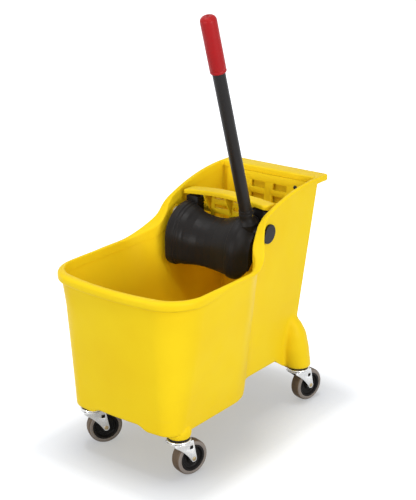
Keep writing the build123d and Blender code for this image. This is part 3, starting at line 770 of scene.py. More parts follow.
@dataclass(frozen=True)
class ScrewHead:
    """A pan head with a cross recess, standing on the plane z = 0, its cuts as shares of its size."""

    radius: float = 0.0045
    height: float = 0.0026
    fall: float = 0.35
    arm: float = 0.16
    reach: float = 0.62
    depth: float = 0.45
    around: int = 64
    across: int = 16
    sharp: float = 30.0

    def mesh(self) -> Mesh:
        """Skins the head from the middle of its top out and down to its foot."""
        rows = []
        angles = np.linspace(0.0, 2.0 * math.pi, self.around, endpoint=False)
        for share in np.linspace(0.0, 1.0, self.across):
            x, y = self.radius * share * np.cos(angles), self.radius * share * np.sin(angles)
            cut = (np.minimum(np.abs(x), np.abs(y)) < self.arm * self.radius) & (share < self.reach)
            top = self.height * (1.0 - self.fall * share**4)
            rows.append(np.column_stack([x, y, np.where(cut, self.depth * self.height, top)]))
        rows.append(rows[-1] * np.array([1.0, 1.0, 0.0]))
        rows.append(rows[-1] * 0.0)
        return skinned("screw_head", rows, self.sharp)


@dataclass
class Wringer:
    """The lever's head and the fixed panel behind it, in millimetres.

    Each ring of the drum has its place along the drum, how far it is drawn in and how far it is lowered. A
    lathe profile has distances from its axis and along it.
    """

    rings: tuple[Triple, ...] = (
        (-109.0, 7.0, 0.0), (-107.0, 3.5, 0.0), (-103.0, 0.8, 0.0), (-97.0, 0.0, 0.0), (-87.0, 0.2, 0.0),
        (-85.5, 2.6, 0.0), (-79.5, 2.8, 0.0), (-78.0, 4.8, 0.2), (-70.0, 5.4, 0.8), (-65.0, 6.4, 1.5),
        (-60.0, 8.5, 3.0), (-48.0, 12.5, 5.0), (-32.0, 15.5, 6.0), (-10.0, 16.5, 6.5), (10.0, 15.0, 6.0),
        (28.0, 11.5, 4.0), (43.0, 8.0, 2.0), (54.5, 5.8, 0.8), (57.0, 1.6, 0.0), (64.0, 0.4, 0.0),
        (72.0, 0.5, 0.0), (79.0, 3.0, 0.0), (85.0, 7.5, 0.0), (90.0, 12.5, 0.0), (94.0, 17.0, 0.0),
        (98.0, 21.0, 0.0), (101.0, 23.5, 0.0), (104.0, 25.5, 0.0),
    )
    ring_ease: float = 0.7
    ring_near: float = 0.8
    drum_rows: int = 90
    drum_sharp: float = 38.0
    end: float = 5.0
    shell: float = 4.0
    front: float = 13.0
    belly: Pair = (90.0, 402.0)
    belly_radius: float = 77.0
    belly_turn: Pair = (91.5, 180.0)
    crest: Pair = (88.0, 479.0)
    crest_radius: float = 154.0
    chin: Pair = (39.0, 370.8)
    chin_radius: float = 26.0
    chin_turn: Pair = (180.0, 315.0)
    sole_level: float = 399.0
    section_steps: tuple[int, int, int] = (7, 24, 16)
    front_shares: Pair = (0.33, 0.67)
    rise_shares: Floats = (0.25, 0.5, 0.75, 1.0)
    sole_shares: Pair = (0.5, 1.0)
    shoulders: Pairs = ((-108.0, -76.0), (64.0, 108.0))
    shoulder_heights: Pair = (440.0, 489.5)
    shoulder_front: float = 95.0
    shoulder_corner: float = 6.0
    shoulder_soft: float = 1.0
    waist: Pair = (-74.0, 50.0)
    waist_back: float = 88.0
    waist_edge: float = 0.02
    pivot: Pair = (75.5, 449.0)
    trunnion_foot: float = 93.0
    trunnion: Pairs = (
        (8.05, 0.0), (14.0, 0.0), (14.0, 21.8), (13.4, 23.1), (12.5, 23.6), (8.05, 23.6),
    )
    socket_foot: Triple = (79.5, 76.0, 449.0)
    socket: Pairs = (
        (13.55, -16.0), (23.6, -16.0), (23.6, 0.0), (23.6, 21.0), (20.6, 24.5), (18.4, 28.0), (17.0, 31.5),
        (16.2, 35.0), (16.0, 39.0), (16.0, 43.5), (15.4, 44.6), (14.6, 45.0), (13.55, 45.0),
    )
    socket_steps: int = 64
    handle_lean: float = 17.4
    plate: float = 118.0
    plate_thickness: float = 6.0
    plate_half: float = 103.0
    plate_heights: Pair = (320.0, 501.0)
    plate_radii: Floats = (4.0, 4.0, 1.5, 1.5)
    plate_slots: SlotGrid = SlotGrid(4, 8, (0.0515, 0.021), (0.040, 0.009), 0.002, (0.0, 0.4165))
    plate_soft: float = 0.8
    plate_gap: float = 2.0
    root_sink: float = 1.0
    plate_screws: Pairs = ((-94.0, 437.5), (94.0, 437.5), (-94.0, 458.5), (94.0, 458.5))
    flange: Triple = (92.0, 113.0, 8.0)
    flange_thickness: float = 10.0
    flange_ends: Floats = (0.0, 0.3, 1.0, 2.2)
    flange_straight: float = 3.0
    flange_round: float = 3.0
    flange_rows: int = 60
    flange_cut: float = 8.0
    flange_radii: Floats = (1.2, 1.2, 1.2, 3.4)
    gussets: Floats = (-58.0, 0.0)
    gusset_thickness: float = 3.0
    gusset_soft: float = 0.5
    gusset_heights: Triple = (452.0, 492.0, 503.0)
    gusset_front: float = 95.0
    plate_bosses: Floats = (-67.0, 29.0)
    plate_boss_level: float = 467.0
    plate_boss: Pairs = ((2.5, 0.0), (5.5, 0.0), (5.5, 6.2), (4.9, 7.0), (3.2, 7.0), (2.5, 6.2))
    boss_steps: int = 32
    panel_lean: float = 6.6
    panel_foot: Triple = (0.0, 251.717, 498.0)
    panel_thickness: float = 4.0
    panel_halves: Pair = (96.0, 108.0)
    panel_span: Pair = (-262.0, 21.0)
    panel_corner: float = 5.0
    panel_slots: SlotGrid = SlotGrid(2, 9, (0.0595, 0.0285), (0.037, 0.015), 0.002, (0.010, -0.1183))
    panel_soft: float = 0.7
    panel_screws: Pairs = ((-81.0, 4.5), (81.0, 4.5))
    panel_boss: Pairs = ((0.0, 0.3), (5.0, 0.3), (5.0, -5.0), (0.0, -5.0))
    ribs: Floats = (-70.0, 10.0, 90.0)
    rib_half: float = 2.5
    rib_ends: Pair = (14.0, 10.0)
    rib_sink: float = 0.3
    rib_depth: float = 5.2
    rib_soft: float = 0.6

    @property
    def handle_axis(self) -> Vector:
        """Direction of the handle, from its foot up."""
        lean = math.radians(self.handle_lean)
        return Vector((0.0, -math.sin(lean), math.cos(lean)))

    @property
    def plate_back(self) -> float:
        """Place of the plate's back face."""
        return self.plate + self.plate_thickness

    def section(self, inset: float, back: float) -> Array:
        """End view of the drum, from its top edge forward and round to its lower edge.

        Args:
            inset: How far it is drawn in.
            back: How far back its edges reach.

        Returns:
            Places across and up, one row for each point.
        """
        crest_steps, belly_steps, chin_steps = self.section_steps
        reach = self.crest_radius - inset
        middle = self.crest[1] - self.crest_radius
        lean = math.asin(max(back - self.crest[0], 0.0) / reach)
        made = [(self.crest[0] + reach * math.sin(turn), middle + reach * math.cos(turn))
                for turn in np.linspace(lean, 0.0, crest_steps)]
        made += arc_points(self.belly, self.belly_radius - inset, *self.belly_turn, belly_steps)
        fall = self.chin[1] - self.belly[1]
        made += [(self.front + inset, self.belly[1] + fall * share) for share in self.front_shares]
        made += arc_points(self.chin, self.chin_radius - inset, *self.chin_turn, chin_steps)
        across, low = made[-1]
        rise = min(self.sole_level + inset - low, back - across)
        made += [(across + rise * share, low + rise * share) for share in self.rise_shares]
        across, low = made[-1]
        made += [(across + (back - across) * share, low) for share in self.sole_shares]
        return np.array(made)

    def drum_mesh(self) -> Mesh:
        """Skins the waisted drum inside and out, open at the back."""
        places, insets, drops = zip(*self.rings)
        first, last = places[0], places[-1]
        edges = [edge + side * self.waist_edge for edge in self.waist for side in SIDES]
        near = [place + side * self.ring_near for place in places for side in SIDES]

        def ring(place: float, grow: float, back: float) -> Array:
            """The end view at a place along the drum, lowered by its drop."""
            inset, drop = (float(eased(np.array(place), places, values, self.ring_ease))
                           for values in (insets, drops))
            outline = self.section(inset + grow, back) - np.array([0.0, drop])
            return np.column_stack([np.full(len(outline), place), outline])

        rows = []
        inside = [place for place in near if first < place < last]
        for place in sorted({*np.linspace(first, last, self.drum_rows), *places, *inside, *edges}):
            back = self.waist_back if self.waist[0] < place < self.waist[1] else self.plate
            inner = float(np.clip(place, first + self.end, last - self.end))
            rows.append(np.concatenate([ring(place, 0.0, back), ring(inner, self.shell, back)[::-1]]))
        half = len(rows[0]) // 2
        caps = [np.repeat([[spot, self.plate, self.pivot[1]] for spot in spots], half, axis=0)
                for spots in ((first, first + self.end), (last, last - self.end))]
        return skinned("drum_skin", [row * MM for row in (caps[0], *rows, caps[1])], self.drum_sharp)

    def drum(self, shop: Workshop) -> None:
        """Makes the drum with its trunnions and the flared socket of the handle."""
        parts = [self.drum_mesh()]
        for side in SIDES:
            foot = Vector((side * self.trunnion_foot, *self.pivot)) * MM
            parts.append(lathe("trunnion", ringed(in_metres(self.trunnion)), foot, Vector((side, 0.0, 0.0))))
        parts.append(lathe("socket", ringed(in_metres(self.socket)), Vector(self.socket_foot) * MM,
                           self.handle_axis, self.socket_steps))
        low, high = self.shoulder_heights
        depth = Vector((0.0, self.shoulder_front - self.plate, 0.0)) * MM
        for start, end in self.shoulders:
            loop = box_loop((start, low), (end, high), self.shoulder_corner)
            corners = [Vector((x, self.plate, z)) * MM for x, z in loop]
            parts.append(prism("shoulder", corners, depth, self.shoulder_soft * MM))
        shop.place("drum", joined("drum", parts), Slot.BLACK, Body.LEVER.value, "press_drum")

    def flange_mesh(self) -> Mesh:
        """Skins the arched flange along the top of the press plate."""
        front, reach, rise = self.flange
        low, thickness = self.plate_heights[1] - self.flange_thickness, self.flange_thickness
        straight = reach - self.flange_straight
        edge = self.flange_ends[-1]
        rows = []
        left_end = [step - reach for step in self.flange_ends]
        right_end = [reach - step for step in reversed(self.flange_ends)]
        for place in (*left_end, *np.linspace(-straight, straight, self.flange_rows), *right_end):
            shrink = max(0.0, edge - (reach - abs(place))) ** 2 / self.flange_round
            start = front + shrink + max(0.0, place - (reach - self.flange_cut))
            lift = rise * (1.0 - (place / reach) ** 2)
            under, top, back = low + shrink, low + thickness - shrink, self.plate_back - shrink
            loop = rounded_loop([(start, under), (back, under), (back, top), (start, top)], self.flange_radii)
            rows.append(np.array([(place, across, up + lift) for across, up in loop]))
        caps = [np.tile(ring.mean(axis=0), (len(ring), 1)) for ring in (rows[0], rows[-1])]
        return skinned("flange", [row * MM for row in (caps[0], *rows, caps[1])])

    def press_plate(self, shop: Workshop) -> None:
        """Makes the slatted plate with its flange, gussets and bosses."""
        low, high = self.plate_heights[0], self.plate_heights[1] - self.plate_gap
        half, root = self.plate_half, self.plate + self.root_sink
        outline = rounded_loop([(-half, low), (half, low), (half, high), (-half, high)], self.plate_radii)
        sheet = shop.sheet([in_metres(outline)], self.plate_thickness * MM, self.plate_slots)
        sheet.transform(Matrix((
            (1.0, 0.0, 0.0, 0.0),
            (0.0, 0.0, -1.0, self.plate_back * MM),
            (0.0, 1.0, 0.0, 0.0),
            (0.0, 0.0, 0.0, 1.0),
        )))
        parts = [softened(sheet, self.plate_soft * MM), self.flange_mesh()]
        foot, brow, top = self.gusset_heights
        for place in self.gussets:
            spots = [(root, foot), (root, top), (self.gusset_front, top), (self.gusset_front, brow)]
            corners = [Vector((place - self.gusset_thickness / 2.0, y, z)) * MM for y, z in spots]
            depth = Vector((self.gusset_thickness, 0.0, 0.0)) * MM
            parts.append(prism("gusset", corners, depth, self.gusset_soft * MM))
        for place in self.plate_bosses:
            parts.append(lathe("plate_boss", ringed(in_metres(self.plate_boss)),
                               Vector((place, root, self.plate_boss_level)) * MM, Vector((0.0, -1.0, 0.0)),
                               self.boss_steps))
        shop.place("plate", joined("plate", parts), Slot.YELLOW, Body.LEVER.value, "press_plate")

    @property
    def panel_frame(self) -> Matrix:
        """Carries the panel's own plane into place, with its normal towards the front."""
        lean = math.radians(self.panel_lean)
        sine, cosine = math.sin(lean), math.cos(lean)
        return Matrix((
            (1.0, 0.0, 0.0, self.panel_foot[0] * MM),
            (0.0, sine, -cosine, self.panel_foot[1] * MM),
            (0.0, cosine, sine, self.panel_foot[2] * MM),
            (0.0, 0.0, 0.0, 1.0),
        ))

    def panel(self, shop: Workshop) -> None:
        """Makes the perforated panel with the ribs that hold it off the back wall."""
        down, up = (height / math.cos(math.radians(self.panel_lean)) for height in self.panel_span)
        low, high = self.panel_halves
        outline = rounded_loop([(-low, down), (low, down), (high, up), (-high, up)], [self.panel_corner] * 4)
        sheet = shop.sheet([in_metres(outline)], self.panel_thickness * MM, self.panel_slots)
        parts = [softened(sheet, self.panel_soft * MM)]
        for place in self.ribs:
            left, right = place - self.rib_half, place + self.rib_half
            foot, top = down + self.rib_ends[0], up - self.rib_ends[1]
            corners = [Vector((x, y, self.rib_sink)) * MM
                       for x, y in ((left, foot), (right, foot), (right, top), (left, top))]
            parts.append(prism("rib", corners, -UP * self.rib_depth * MM, self.rib_soft * MM))
        for place, height in self.panel_screws:
            parts.append(lathe("panel_boss", in_metres(self.panel_boss), Vector((place, height, 0.0)) * MM,
                               UP, self.boss_steps))
        panel = joined("panel", parts)
        panel.transform(self.panel_frame)
        shop.place("panel", panel, Slot.YELLOW, Body.BUCKET.value, "wringer_panel")

    def screws(self, shop: Workshop) -> None:
        """Sets the screw heads of the panel and of the plate."""
        pattern = ScrewHead()
        head = new_object("screw_head", pattern.mesh())
        panel_spots = [self.panel_frame @ (Vector((x, y, self.panel_thickness)) * MM)
                       for x, y in self.panel_screws]
        plate_spots = [Vector((x, self.plate_back, z)) * MM for x, z in self.plate_screws]
        to_back = Matrix(((-1.0, 0.0, 0.0), (0.0, 0.0, 1.0), (0.0, 1.0, 0.0)))
        for name, spots, turn, body, node in (
            ("panel_screw_heads", panel_spots, self.panel_frame, Body.BUCKET, "panel_screws"),
            ("plate_screw_heads", plate_spots, to_back, Body.LEVER, "plate_screws"),
        ):
            base = bpy.data.meshes.new(f"{name}_spots")
            base.from_pydata([tuple(spot) for spot in spots], [], [])
            made = shop.trees.copies.run(base, {"Object": head, "Rotation": turn.to_euler()})
            made.set_sharp_from_angle(angle=math.radians(pattern.sharp))
            shop.place(name, made, Slot.ZINC, body.value, node, look=shop.screw)
        bpy.data.objects.remove(head)

    def build(self, shop: Workshop) -> None:
        """Makes every piece of the wringer."""
        self.drum(shop)
        self.press_plate(shop)
        self.panel(shop)
        self.screws(shop)


@dataclass
class Lever:
    """Grip and collar on the handle tube, in metres along the handle.

    The grip's foot has insets from its radius and rises above its lower end, and its hole has radii and
    depths below its tip.
    """

    foot: Vector
    axis: Vector
    reach: float = 0.493
    grip_length: float = 0.120
    grip_radius: float = 0.017
    tube_radius: float = 0.01355
    dome: float = 0.011
    dome_turn: Pair = (0.0, 84.0)
    dome_steps: int = 12
    grip_foot: Pairs = (
        (0.0012, 0.0), (0.0003, 0.0006), (0.0, 0.0016), (0.0, 0.005), (0.0004, 0.0058), (0.0004, 0.0068),
        (0.0, 0.0076),
    )
    plain: Pair = (0.008, 0.016)
    plain_shares: Floats = (0.1, 0.3, 0.5, 0.7, 0.9)
    hole: Pairs = ((0.0031, 0.0), (0.0022, 0.0007), (0.002, 0.006), (0.0, 0.006))
    cap: Pair = (0.0151, 0.015)
    grip_steps: int = 72
    collar_profile: Pairs = (
        (0.01355, 0.045), (0.0148, 0.045), (0.0152, 0.0456), (0.0152, 0.0478), (0.0149, 0.0482),
        (0.0149, 0.0487), (0.0152, 0.0491), (0.0152, 0.0506), (0.0147, 0.0516), (0.01355, 0.052),
    )
    collar_steps: int = 64

    def grip(self, shop: Workshop) -> None:
        """Makes the moulded grip with a domed end, a bead at its foot and a hanging hole."""
        low, high, radius = self.reach - self.grip_length, self.reach, self.grip_radius
        start, end = low + self.plain[0], high - self.plain[1]
        profile = [(0.0, high - self.cap[0]), (self.tube_radius, high - self.cap[1]), (self.tube_radius, low)]
        profile += [(radius - inset, low + rise) for inset, rise in self.grip_foot]
        profile += [(radius, start + (end - start) * share) for share in self.plain_shares]
        centre = (radius - self.dome, high - self.dome)
        profile += arc_points(centre, self.dome, *self.dome_turn, self.dome_steps)
        profile += [(reach, high - depth) for reach, depth in self.hole]
        shop.place("grip", lathe("grip", profile, self.foot, self.axis, self.grip_steps), Slot.GRIP,
                   Body.LEVER.value, "handle_grip")

    def collar(self, shop: Workshop) -> None:
        """Makes the ring at the tube's foot."""
        ring = lathe("collar", ringed(self.collar_profile), self.foot, self.axis, self.collar_steps)
        shop.place("collar", ring, Slot.BLACK, Body.LEVER.value, "handle_collar")

    def build(self, shop: Workshop) -> None:
        """Makes the pieces on the handle."""
        self.grip(shop)
        self.collar(shop)


@dataclass
class Caster:
    """One swivel caster, in metres, with lathe profiles from its stem or from the middle of its wheel."""

    corner: str
    stem: Vector
    angle: float
    trail: float = 0.0265
    wheel_radius: float = 0.038
    race_disc: Pairs = (
        (0.00555, 0.0824), (0.0228, 0.0824), (0.0246, 0.0829), (0.0254, 0.0840), (0.0255, 0.0853),
        (0.0251, 0.0866), (0.0243, 0.0873), (0.0232, 0.0875), (0.00555, 0.0875),
    )
    # black ring between race and tank: painted shade of the shadowed gap above the race
    shade_ring: Pairs = (
        (0.0082, 0.0874), (0.0218, 0.0874), (0.0224, 0.0880), (0.0218, 0.0890), (0.0224, 0.0900),
        (0.0218, 0.0912), (0.0218, 0.0918), (0.0082, 0.0918),
    )
    cheek_inside: float = 0.0145
    sheet: float = 0.0025
    sheet_soft: float = 0.0006
    sheet_steps: int = 3
    eye_radius: float = 0.007
    eye_turn: Pair = (5.0, -128.0)
    eye_steps: int = 16
    cheek_brow: Pairs = ((-0.0215, 0.0775), (-0.022, 0.0818), (0.0246, 0.0818), (0.0252, 0.0800))
    cheek_heel: Pair = (-0.0175, 0.0738)
    cheek_hollow: Pair = (0.0046, 0.0044)
    cheek_steps: int = 10
    window: tuple[Pair, Pair] = ((0.0160, 0.0625), (0.0240, 0.0705))
    window_corner: float = 0.001
    fork_disc: Pairs = (
        (0.00555, 0.079), (0.0234, 0.079), (0.024, 0.0796), (0.024, 0.0812), (0.0233, 0.082),
        (0.00555, 0.082),
    )
    bridge: Pair = (-0.0216, 0.0246)
    bridge_inset: float = 0.0004
    bridge_heights: Pair = (0.0791, 0.0818)
    rivet: Pairs = (
        (0.0, 0.0012), (0.0022, 0.0011), (0.0042, 0.0007), (0.0048, -0.0001), (0.0040, -0.0002),
    )
    core_face: Pairs = (
        (0.00655, 0.012), (0.0098, 0.012), (0.0105, 0.0112), (0.0108, 0.0064), (0.0117, 0.0052),
        (0.0145, 0.0047), (0.0149, 0.0054), (0.0157, 0.0054), (0.0161, 0.0047), (0.0193, 0.0047),
        (0.0197, 0.0056), (0.0206, 0.0056), (0.0210, 0.0050), (0.0228, 0.0058), (0.0238, 0.0078),
        (0.0243, 0.0108), (0.0252, 0.012), (0.0283, 0.012), (0.029, 0.0113),
    )
    tyre_side: Pairs = (
        (0.02905, 0.0126), (0.0300, 0.013), (0.0319, 0.013), (0.0322, 0.0127), (0.0326, 0.0130),
    )
    tyre_shoulder: Pair = (0.0318, 0.007)
    shoulder_radius: float = 0.006
    shoulder_turn: Pair = (78.0, 4.0)
    shoulder_steps: int = 9
    tyre_tread: Pairs = ((0.03795, 0.0042), (0.038, 0.0008))
    flank: float = 0.0112
    steel_steps: int = 64
    shade_ring_steps: int = 48
    rivet_steps: int = 40
    core_steps: int = 72
    tyre_steps: int = 96

    @property
    def heading(self) -> Vector:
        """Direction from the stem to the wheel."""
        turn = math.radians(self.angle)
        return Vector((math.cos(turn), math.sin(turn), 0.0))

    @property
    def axle(self) -> Vector:
        """Direction of the wheel's axle."""
        return self.heading.cross(UP)

    @property
    def hub(self) -> Vector:
        """Middle of the wheel."""
        return self.stem + self.heading * self.trail + UP * self.wheel_radius

    def add(self, shop: Workshop, kind: str, mesh: Mesh, slot: Slot, body: str,
            look: Material | None = None) -> None:
        """Adds one of the caster's pieces in place of its node."""
        shop.place(f"{kind}_{self.corner}", mesh, slot, body, f"caster_{kind}_{self.corner}", look=look)

    def race(self, shop: Workshop) -> None:
        """Makes the bright race, and a black ring between it and the tank that paints the shade of the gap
        there.
        """
        disc = lathe("race", ringed(self.race_disc), self.stem, UP, self.steel_steps)
        self.add(shop, "race", disc, Slot.ZINC, Body.BUCKET.value)
        # this black ring paints the shade that falls in the gap between the race and the tank
        shade_ring = lathe("shade_ring", ringed(self.shade_ring), self.stem, UP, self.shade_ring_steps)
        shop.place(f"seal_{self.corner}", shade_ring, Slot.BLACK, Body.BUCKET.value)

    def cheek_outline(self) -> list[Pair]:
        """Outline of a fork cheek in side view: its brow, the eye round the axle, and a hollow lower edge."""
        eye = arc_points((self.trail, self.wheel_radius), self.eye_radius, *self.eye_turn, self.eye_steps)
        heel, foot = Vector(self.cheek_heel), Vector(eye[-1])
        waist = (heel + foot) / 2.0 + Vector(self.cheek_hollow)
        hollow = [foot.lerp(waist, share).lerp(waist.lerp(heel, share), share)
                  for share in np.linspace(0.0, 1.0, self.cheek_steps + 1)[1:]]
        start, *brow = self.cheek_brow
        return [*brow, *eye, *(tuple(spot) for spot in hollow), start]

    def fork(self, shop: Workshop) -> None:
        """Makes the pressed fork: a round top plate and two cheeks with a window."""
        loops = [self.cheek_outline(), box_loop(*self.window, self.window_corner)]
        heading, axle = self.heading, self.axle
        parts = []
        for start in (-self.cheek_inside - self.sheet, self.cheek_inside):
            sheet = shop.sheet(loops, self.sheet)
            sheet.transform(Matrix((
                (heading.x, 0.0, axle.x, self.stem.x + axle.x * start),
                (heading.y, 0.0, axle.y, self.stem.y + axle.y * start),
                (0.0, 1.0, 0.0, 0.0),
                (0.0, 0.0, 0.0, 1.0),
            )))
            parts.append(softened(sheet, self.sheet_soft, self.sheet_steps))
        parts.append(lathe("fork_disc", ringed(self.fork_disc), self.stem, UP, self.steel_steps))
        reach = self.cheek_inside + self.sheet - self.bridge_inset
        low, high = self.bridge_heights
        back, front = self.bridge
        corners = [self.stem + heading * x + axle * y + UP * low
                   for x, y in ((back, -reach), (front, -reach), (front, reach), (back, reach))]
        parts.append(prism("fork_bridge", corners, UP * (high - low), self.sheet_soft))
        self.add(shop, "fork", joined("fork", parts), Slot.ZINC, f"fork_{self.corner}")

    def pin(self, shop: Workshop) -> None:
        """Makes the riveted axle."""
        end = self.cheek_inside + self.sheet
        profile = mirrored([(radius, end + height) for radius, height in self.rivet])
        axle = lathe("axle", profile, self.hub, self.axle, self.rivet_steps)
        self.add(shop, "axle", axle, Slot.ZINC, f"fork_{self.corner}", shop.rivet)

    def wheel(self, shop: Workshop) -> None:
        """Makes the ringed core and its tyre, whose paler flanks are partly the tyre's own tone and partly
        painted light on its sidewalls.
        """
        core = lathe("core", ringed(mirrored(self.core_face)), self.hub, self.axle, self.core_steps)
        self.add(shop, "core", core, Slot.BLACK, f"wheel_{self.corner}")
        shoulder = arc_points(
            self.tyre_shoulder, self.shoulder_radius, *self.shoulder_turn, self.shoulder_steps)
        side = [*self.tyre_side, *shoulder, *self.tyre_tread]
        tyre = lathe("tyre", ringed(mirrored(side)), self.hub, self.axle, self.tyre_steps)
        # marks the flanks for their paler colour, which partly paints the light on the sidewalls
        flank = tyre.attributes.new(PALE_LIT_FLANK, "FLOAT", "POINT")
        for vertex in tyre.vertices:
            flank.data[vertex.index].value = float(abs((vertex.co - self.hub).dot(self.axle)) > self.flank)
        self.add(shop, "tyre", tyre, Slot.TYRE, f"wheel_{self.corner}")

    def build(self, shop: Workshop) -> None:
        """Makes every piece of the caster."""
        self.race(shop)
        self.fork(shop)
        self.pin(shop)
        self.wheel(shop)


CASTERS = (("front_right", 75.0), ("front_left", 58.0), ("rear_right", 77.0), ("rear_left", 79.0))


class Run(IntEnum):
    """Stretches of the tank's plan, from the middle of the front round the right side to that of the back."""

    FRONT = 0
    CORNER = 1
    SIDE = 2
    NECK_OUT = 3
    NECK_IN = 4
    TOWER = 5
    FAN = 6
    BACK = 7


@dataclass
class Outline:
    """Sizes of one plan outline in millimetres: single values, or one for each station."""

    half: Any
    tower: Any
    front: Any
    bow: Any
    corner: Any
    neck: Pair
    back: Any
    rear_corner: float


@dataclass
class TankShell:
    """The moulded tank: basin, neck, tower, rolled rim, rear ledge and legs, as one skin in millimetres."""

    wall: float = 5.0
    basin_floor: float = 104.0
    tower_floor: float = 120.0
    floor_step: Pair = (-18.0, 6.0)
    arch_half: Pair = (50.0, 78.0)
    arch_height: float = 11.0
    basin_half: float = 140.5
    basin_lean: float = 7.3
    front: float = -262.0
    front_lean: float = 1.3
    front_bow: float = 9.0
    bow_growth: float = 0.06
    corner: float = 38.0
    corner_growth: float = 0.19
    flare_top: float = 330.0
    tower_top: float = 516.0
    tower_half: float = 133.0
    tower_lean: float = 4.0
    back: float = 264.0
    back_lean: float = 6.6
    back_corner: float = 9.0
    least_corner: float = 1.5
    neck: Pair = (-58.0, 50.0)
    neck_share: float = 0.62
    rim_top: float = 406.0
    rise: float = -50.0
    hollow: Pair = (102.0, 66.0)
    crown: float = 50.0
    slope: Pair = (515.0, 22.5)
    lip: Outline = field(default_factory=lambda: Outline(
        half=180.0, tower=134.0, front=-280.0, bow=23.0, corner=84.0, neck=(-42.0, 74.0), back=303.0,
        rear_corner=9.0,
    ))
    lip_height: float = 20.0
    lip_fade: Pair = (-205.0, -95.0)
    flush_height: float = 6.0
    ledge: float = 13.0
    ledge_fade: Pair = (256.0, 270.0)
    bead: float = 4.0
    rounds: Triple = (8.0, 5.0, 3.0)
    tower_rounds: Pair = (3.2, 1.6)
    round_fade: Pair = (-10.0, 95.0)
    top_share: float = 0.6
    bead_share: float = 0.3
    under_shares: Pair = (0.8, 0.35)
    least_under: float = 0.2
    round_turns: Floats = (0.0, 30.0, 60.0, 90.0)
    top_turns: Floats = (0.0, 18.0, 36.0, 54.0, 72.0, 90.0)
    flat_shares: Pair = (0.33, 0.67)
    foot_round: float = 5.0
    foot_turns: Floats = (65.0, 45.0, 22.0)
    floor_cove: float = 9.0
    cove_turns: Floats = (22.0, 45.0, 68.0)
    caster: Pair = (119.85, 219.65)
    leg_low: float = 91.5
    leg_heights: Floats = (80.0, 87.5, 92.0, 97.0, 140.0, 175.0, 200.0, 224.0, 264.0)
    leg_shifts: Floats = (0.0, 0.0, 1.2, 2.5, 8.0, 10.5, 14.0, 24.0, 44.0)
    leg_radii: Floats = (22.0, 25.5, 29.0, 31.0, 33.0, 29.0, 21.0, 9.0, -36.0)
    leg_eases: Pair = (7.0, 4.0)
    leg_skew: float = 0.75
    leg_blend: float = 8.0
    leg_reach: Pair = (30.0, 62.0)
    fan_inset: float = 13.0
    fan_turn: Pair = (-75.0, 165.0)
    fan_reach: float = 220.0
    fan_halvings: int = 36
    spine: Pair = (-175.0, 150.0)
    counts: dict[Run, int] = field(default_factory=lambda: {
        Run.FRONT: 16, Run.CORNER: 16, Run.SIDE: 12, Run.NECK_OUT: 12, Run.NECK_IN: 10, Run.TOWER: 10,
        Run.FAN: 52, Run.BACK: 9,
    })
    split_height: float = 235.0
    low_rows: int = 26
    high_rows: int = 22
    inner_rows: int = 20
    floor_rows: int = 15
    settle_start: float = 300.0
    settle_rounds: int = 12
    sharp: float = 50.0
    socket: Pairs = ((0.0, 100.0), (13.0, 100.0), (13.0, 125.5), (11.8, 127.0), (0.0, 127.0))
    boss: Pairs = (
        (0.0, 91.5), (20.5, 91.5), (22.6, 92.1), (24.2, 93.7), (25.2, 96.0), (26.0, 100.0), (26.6, 106.0),
        (26.2, 111.0), (23.5, 118.0), (19.0, 124.0), (0.0, 124.0),
    )
    pad: Pairs = ((0.0, 0.0), (16.8, 0.0), (18.0, 1.2), (18.0, 6.0), (0.0, 6.0))
    pad_place: Triple = (120.0, 75.5, 449.0)

    def __post_init__(self) -> None:
        """Lays out the stations of the right half, as a run and a share of it."""
        runs, shares = [], []
        for run, count in self.counts.items():
            steps = np.linspace(0.0, 1.0, count + 1)
            keep = steps if run is Run.BACK else steps[:-1]
            runs += [int(run)] * len(keep)
            shares += list(keep)
        self.run = np.array(runs)
        self.share = np.array(shares)

    @staticmethod
    def lean(size: float, degrees: float, height: Array, level: float) -> Array:
        """Carries a size taken at a level up a leaning wall."""
        return size + (height - level) * math.tan(math.radians(degrees))

    def tank_outline(self, height: Array, inset: float) -> Outline:
        """Gives the tank's plan sizes at a height for each station, drawn in by an inset."""
        flared = np.minimum(height, self.flare_top) - self.basin_floor
        return Outline(
            half=self.lean(self.basin_half, self.basin_lean, height, self.basin_floor) - inset,
            tower=self.lean(self.tower_half, self.tower_lean, height, self.tower_top) - inset,
            front=self.lean(self.front, -self.front_lean, height, self.basin_floor) + inset,
            bow=self.front_bow + (height - self.basin_floor) * self.bow_growth,
            corner=self.corner + flared * self.corner_growth - inset,
            neck=self.neck,
            back=self.lean(self.back, self.back_lean, height, self.tower_top) - inset,
            rear_corner=max(self.back_corner - inset, self.least_corner),
        )

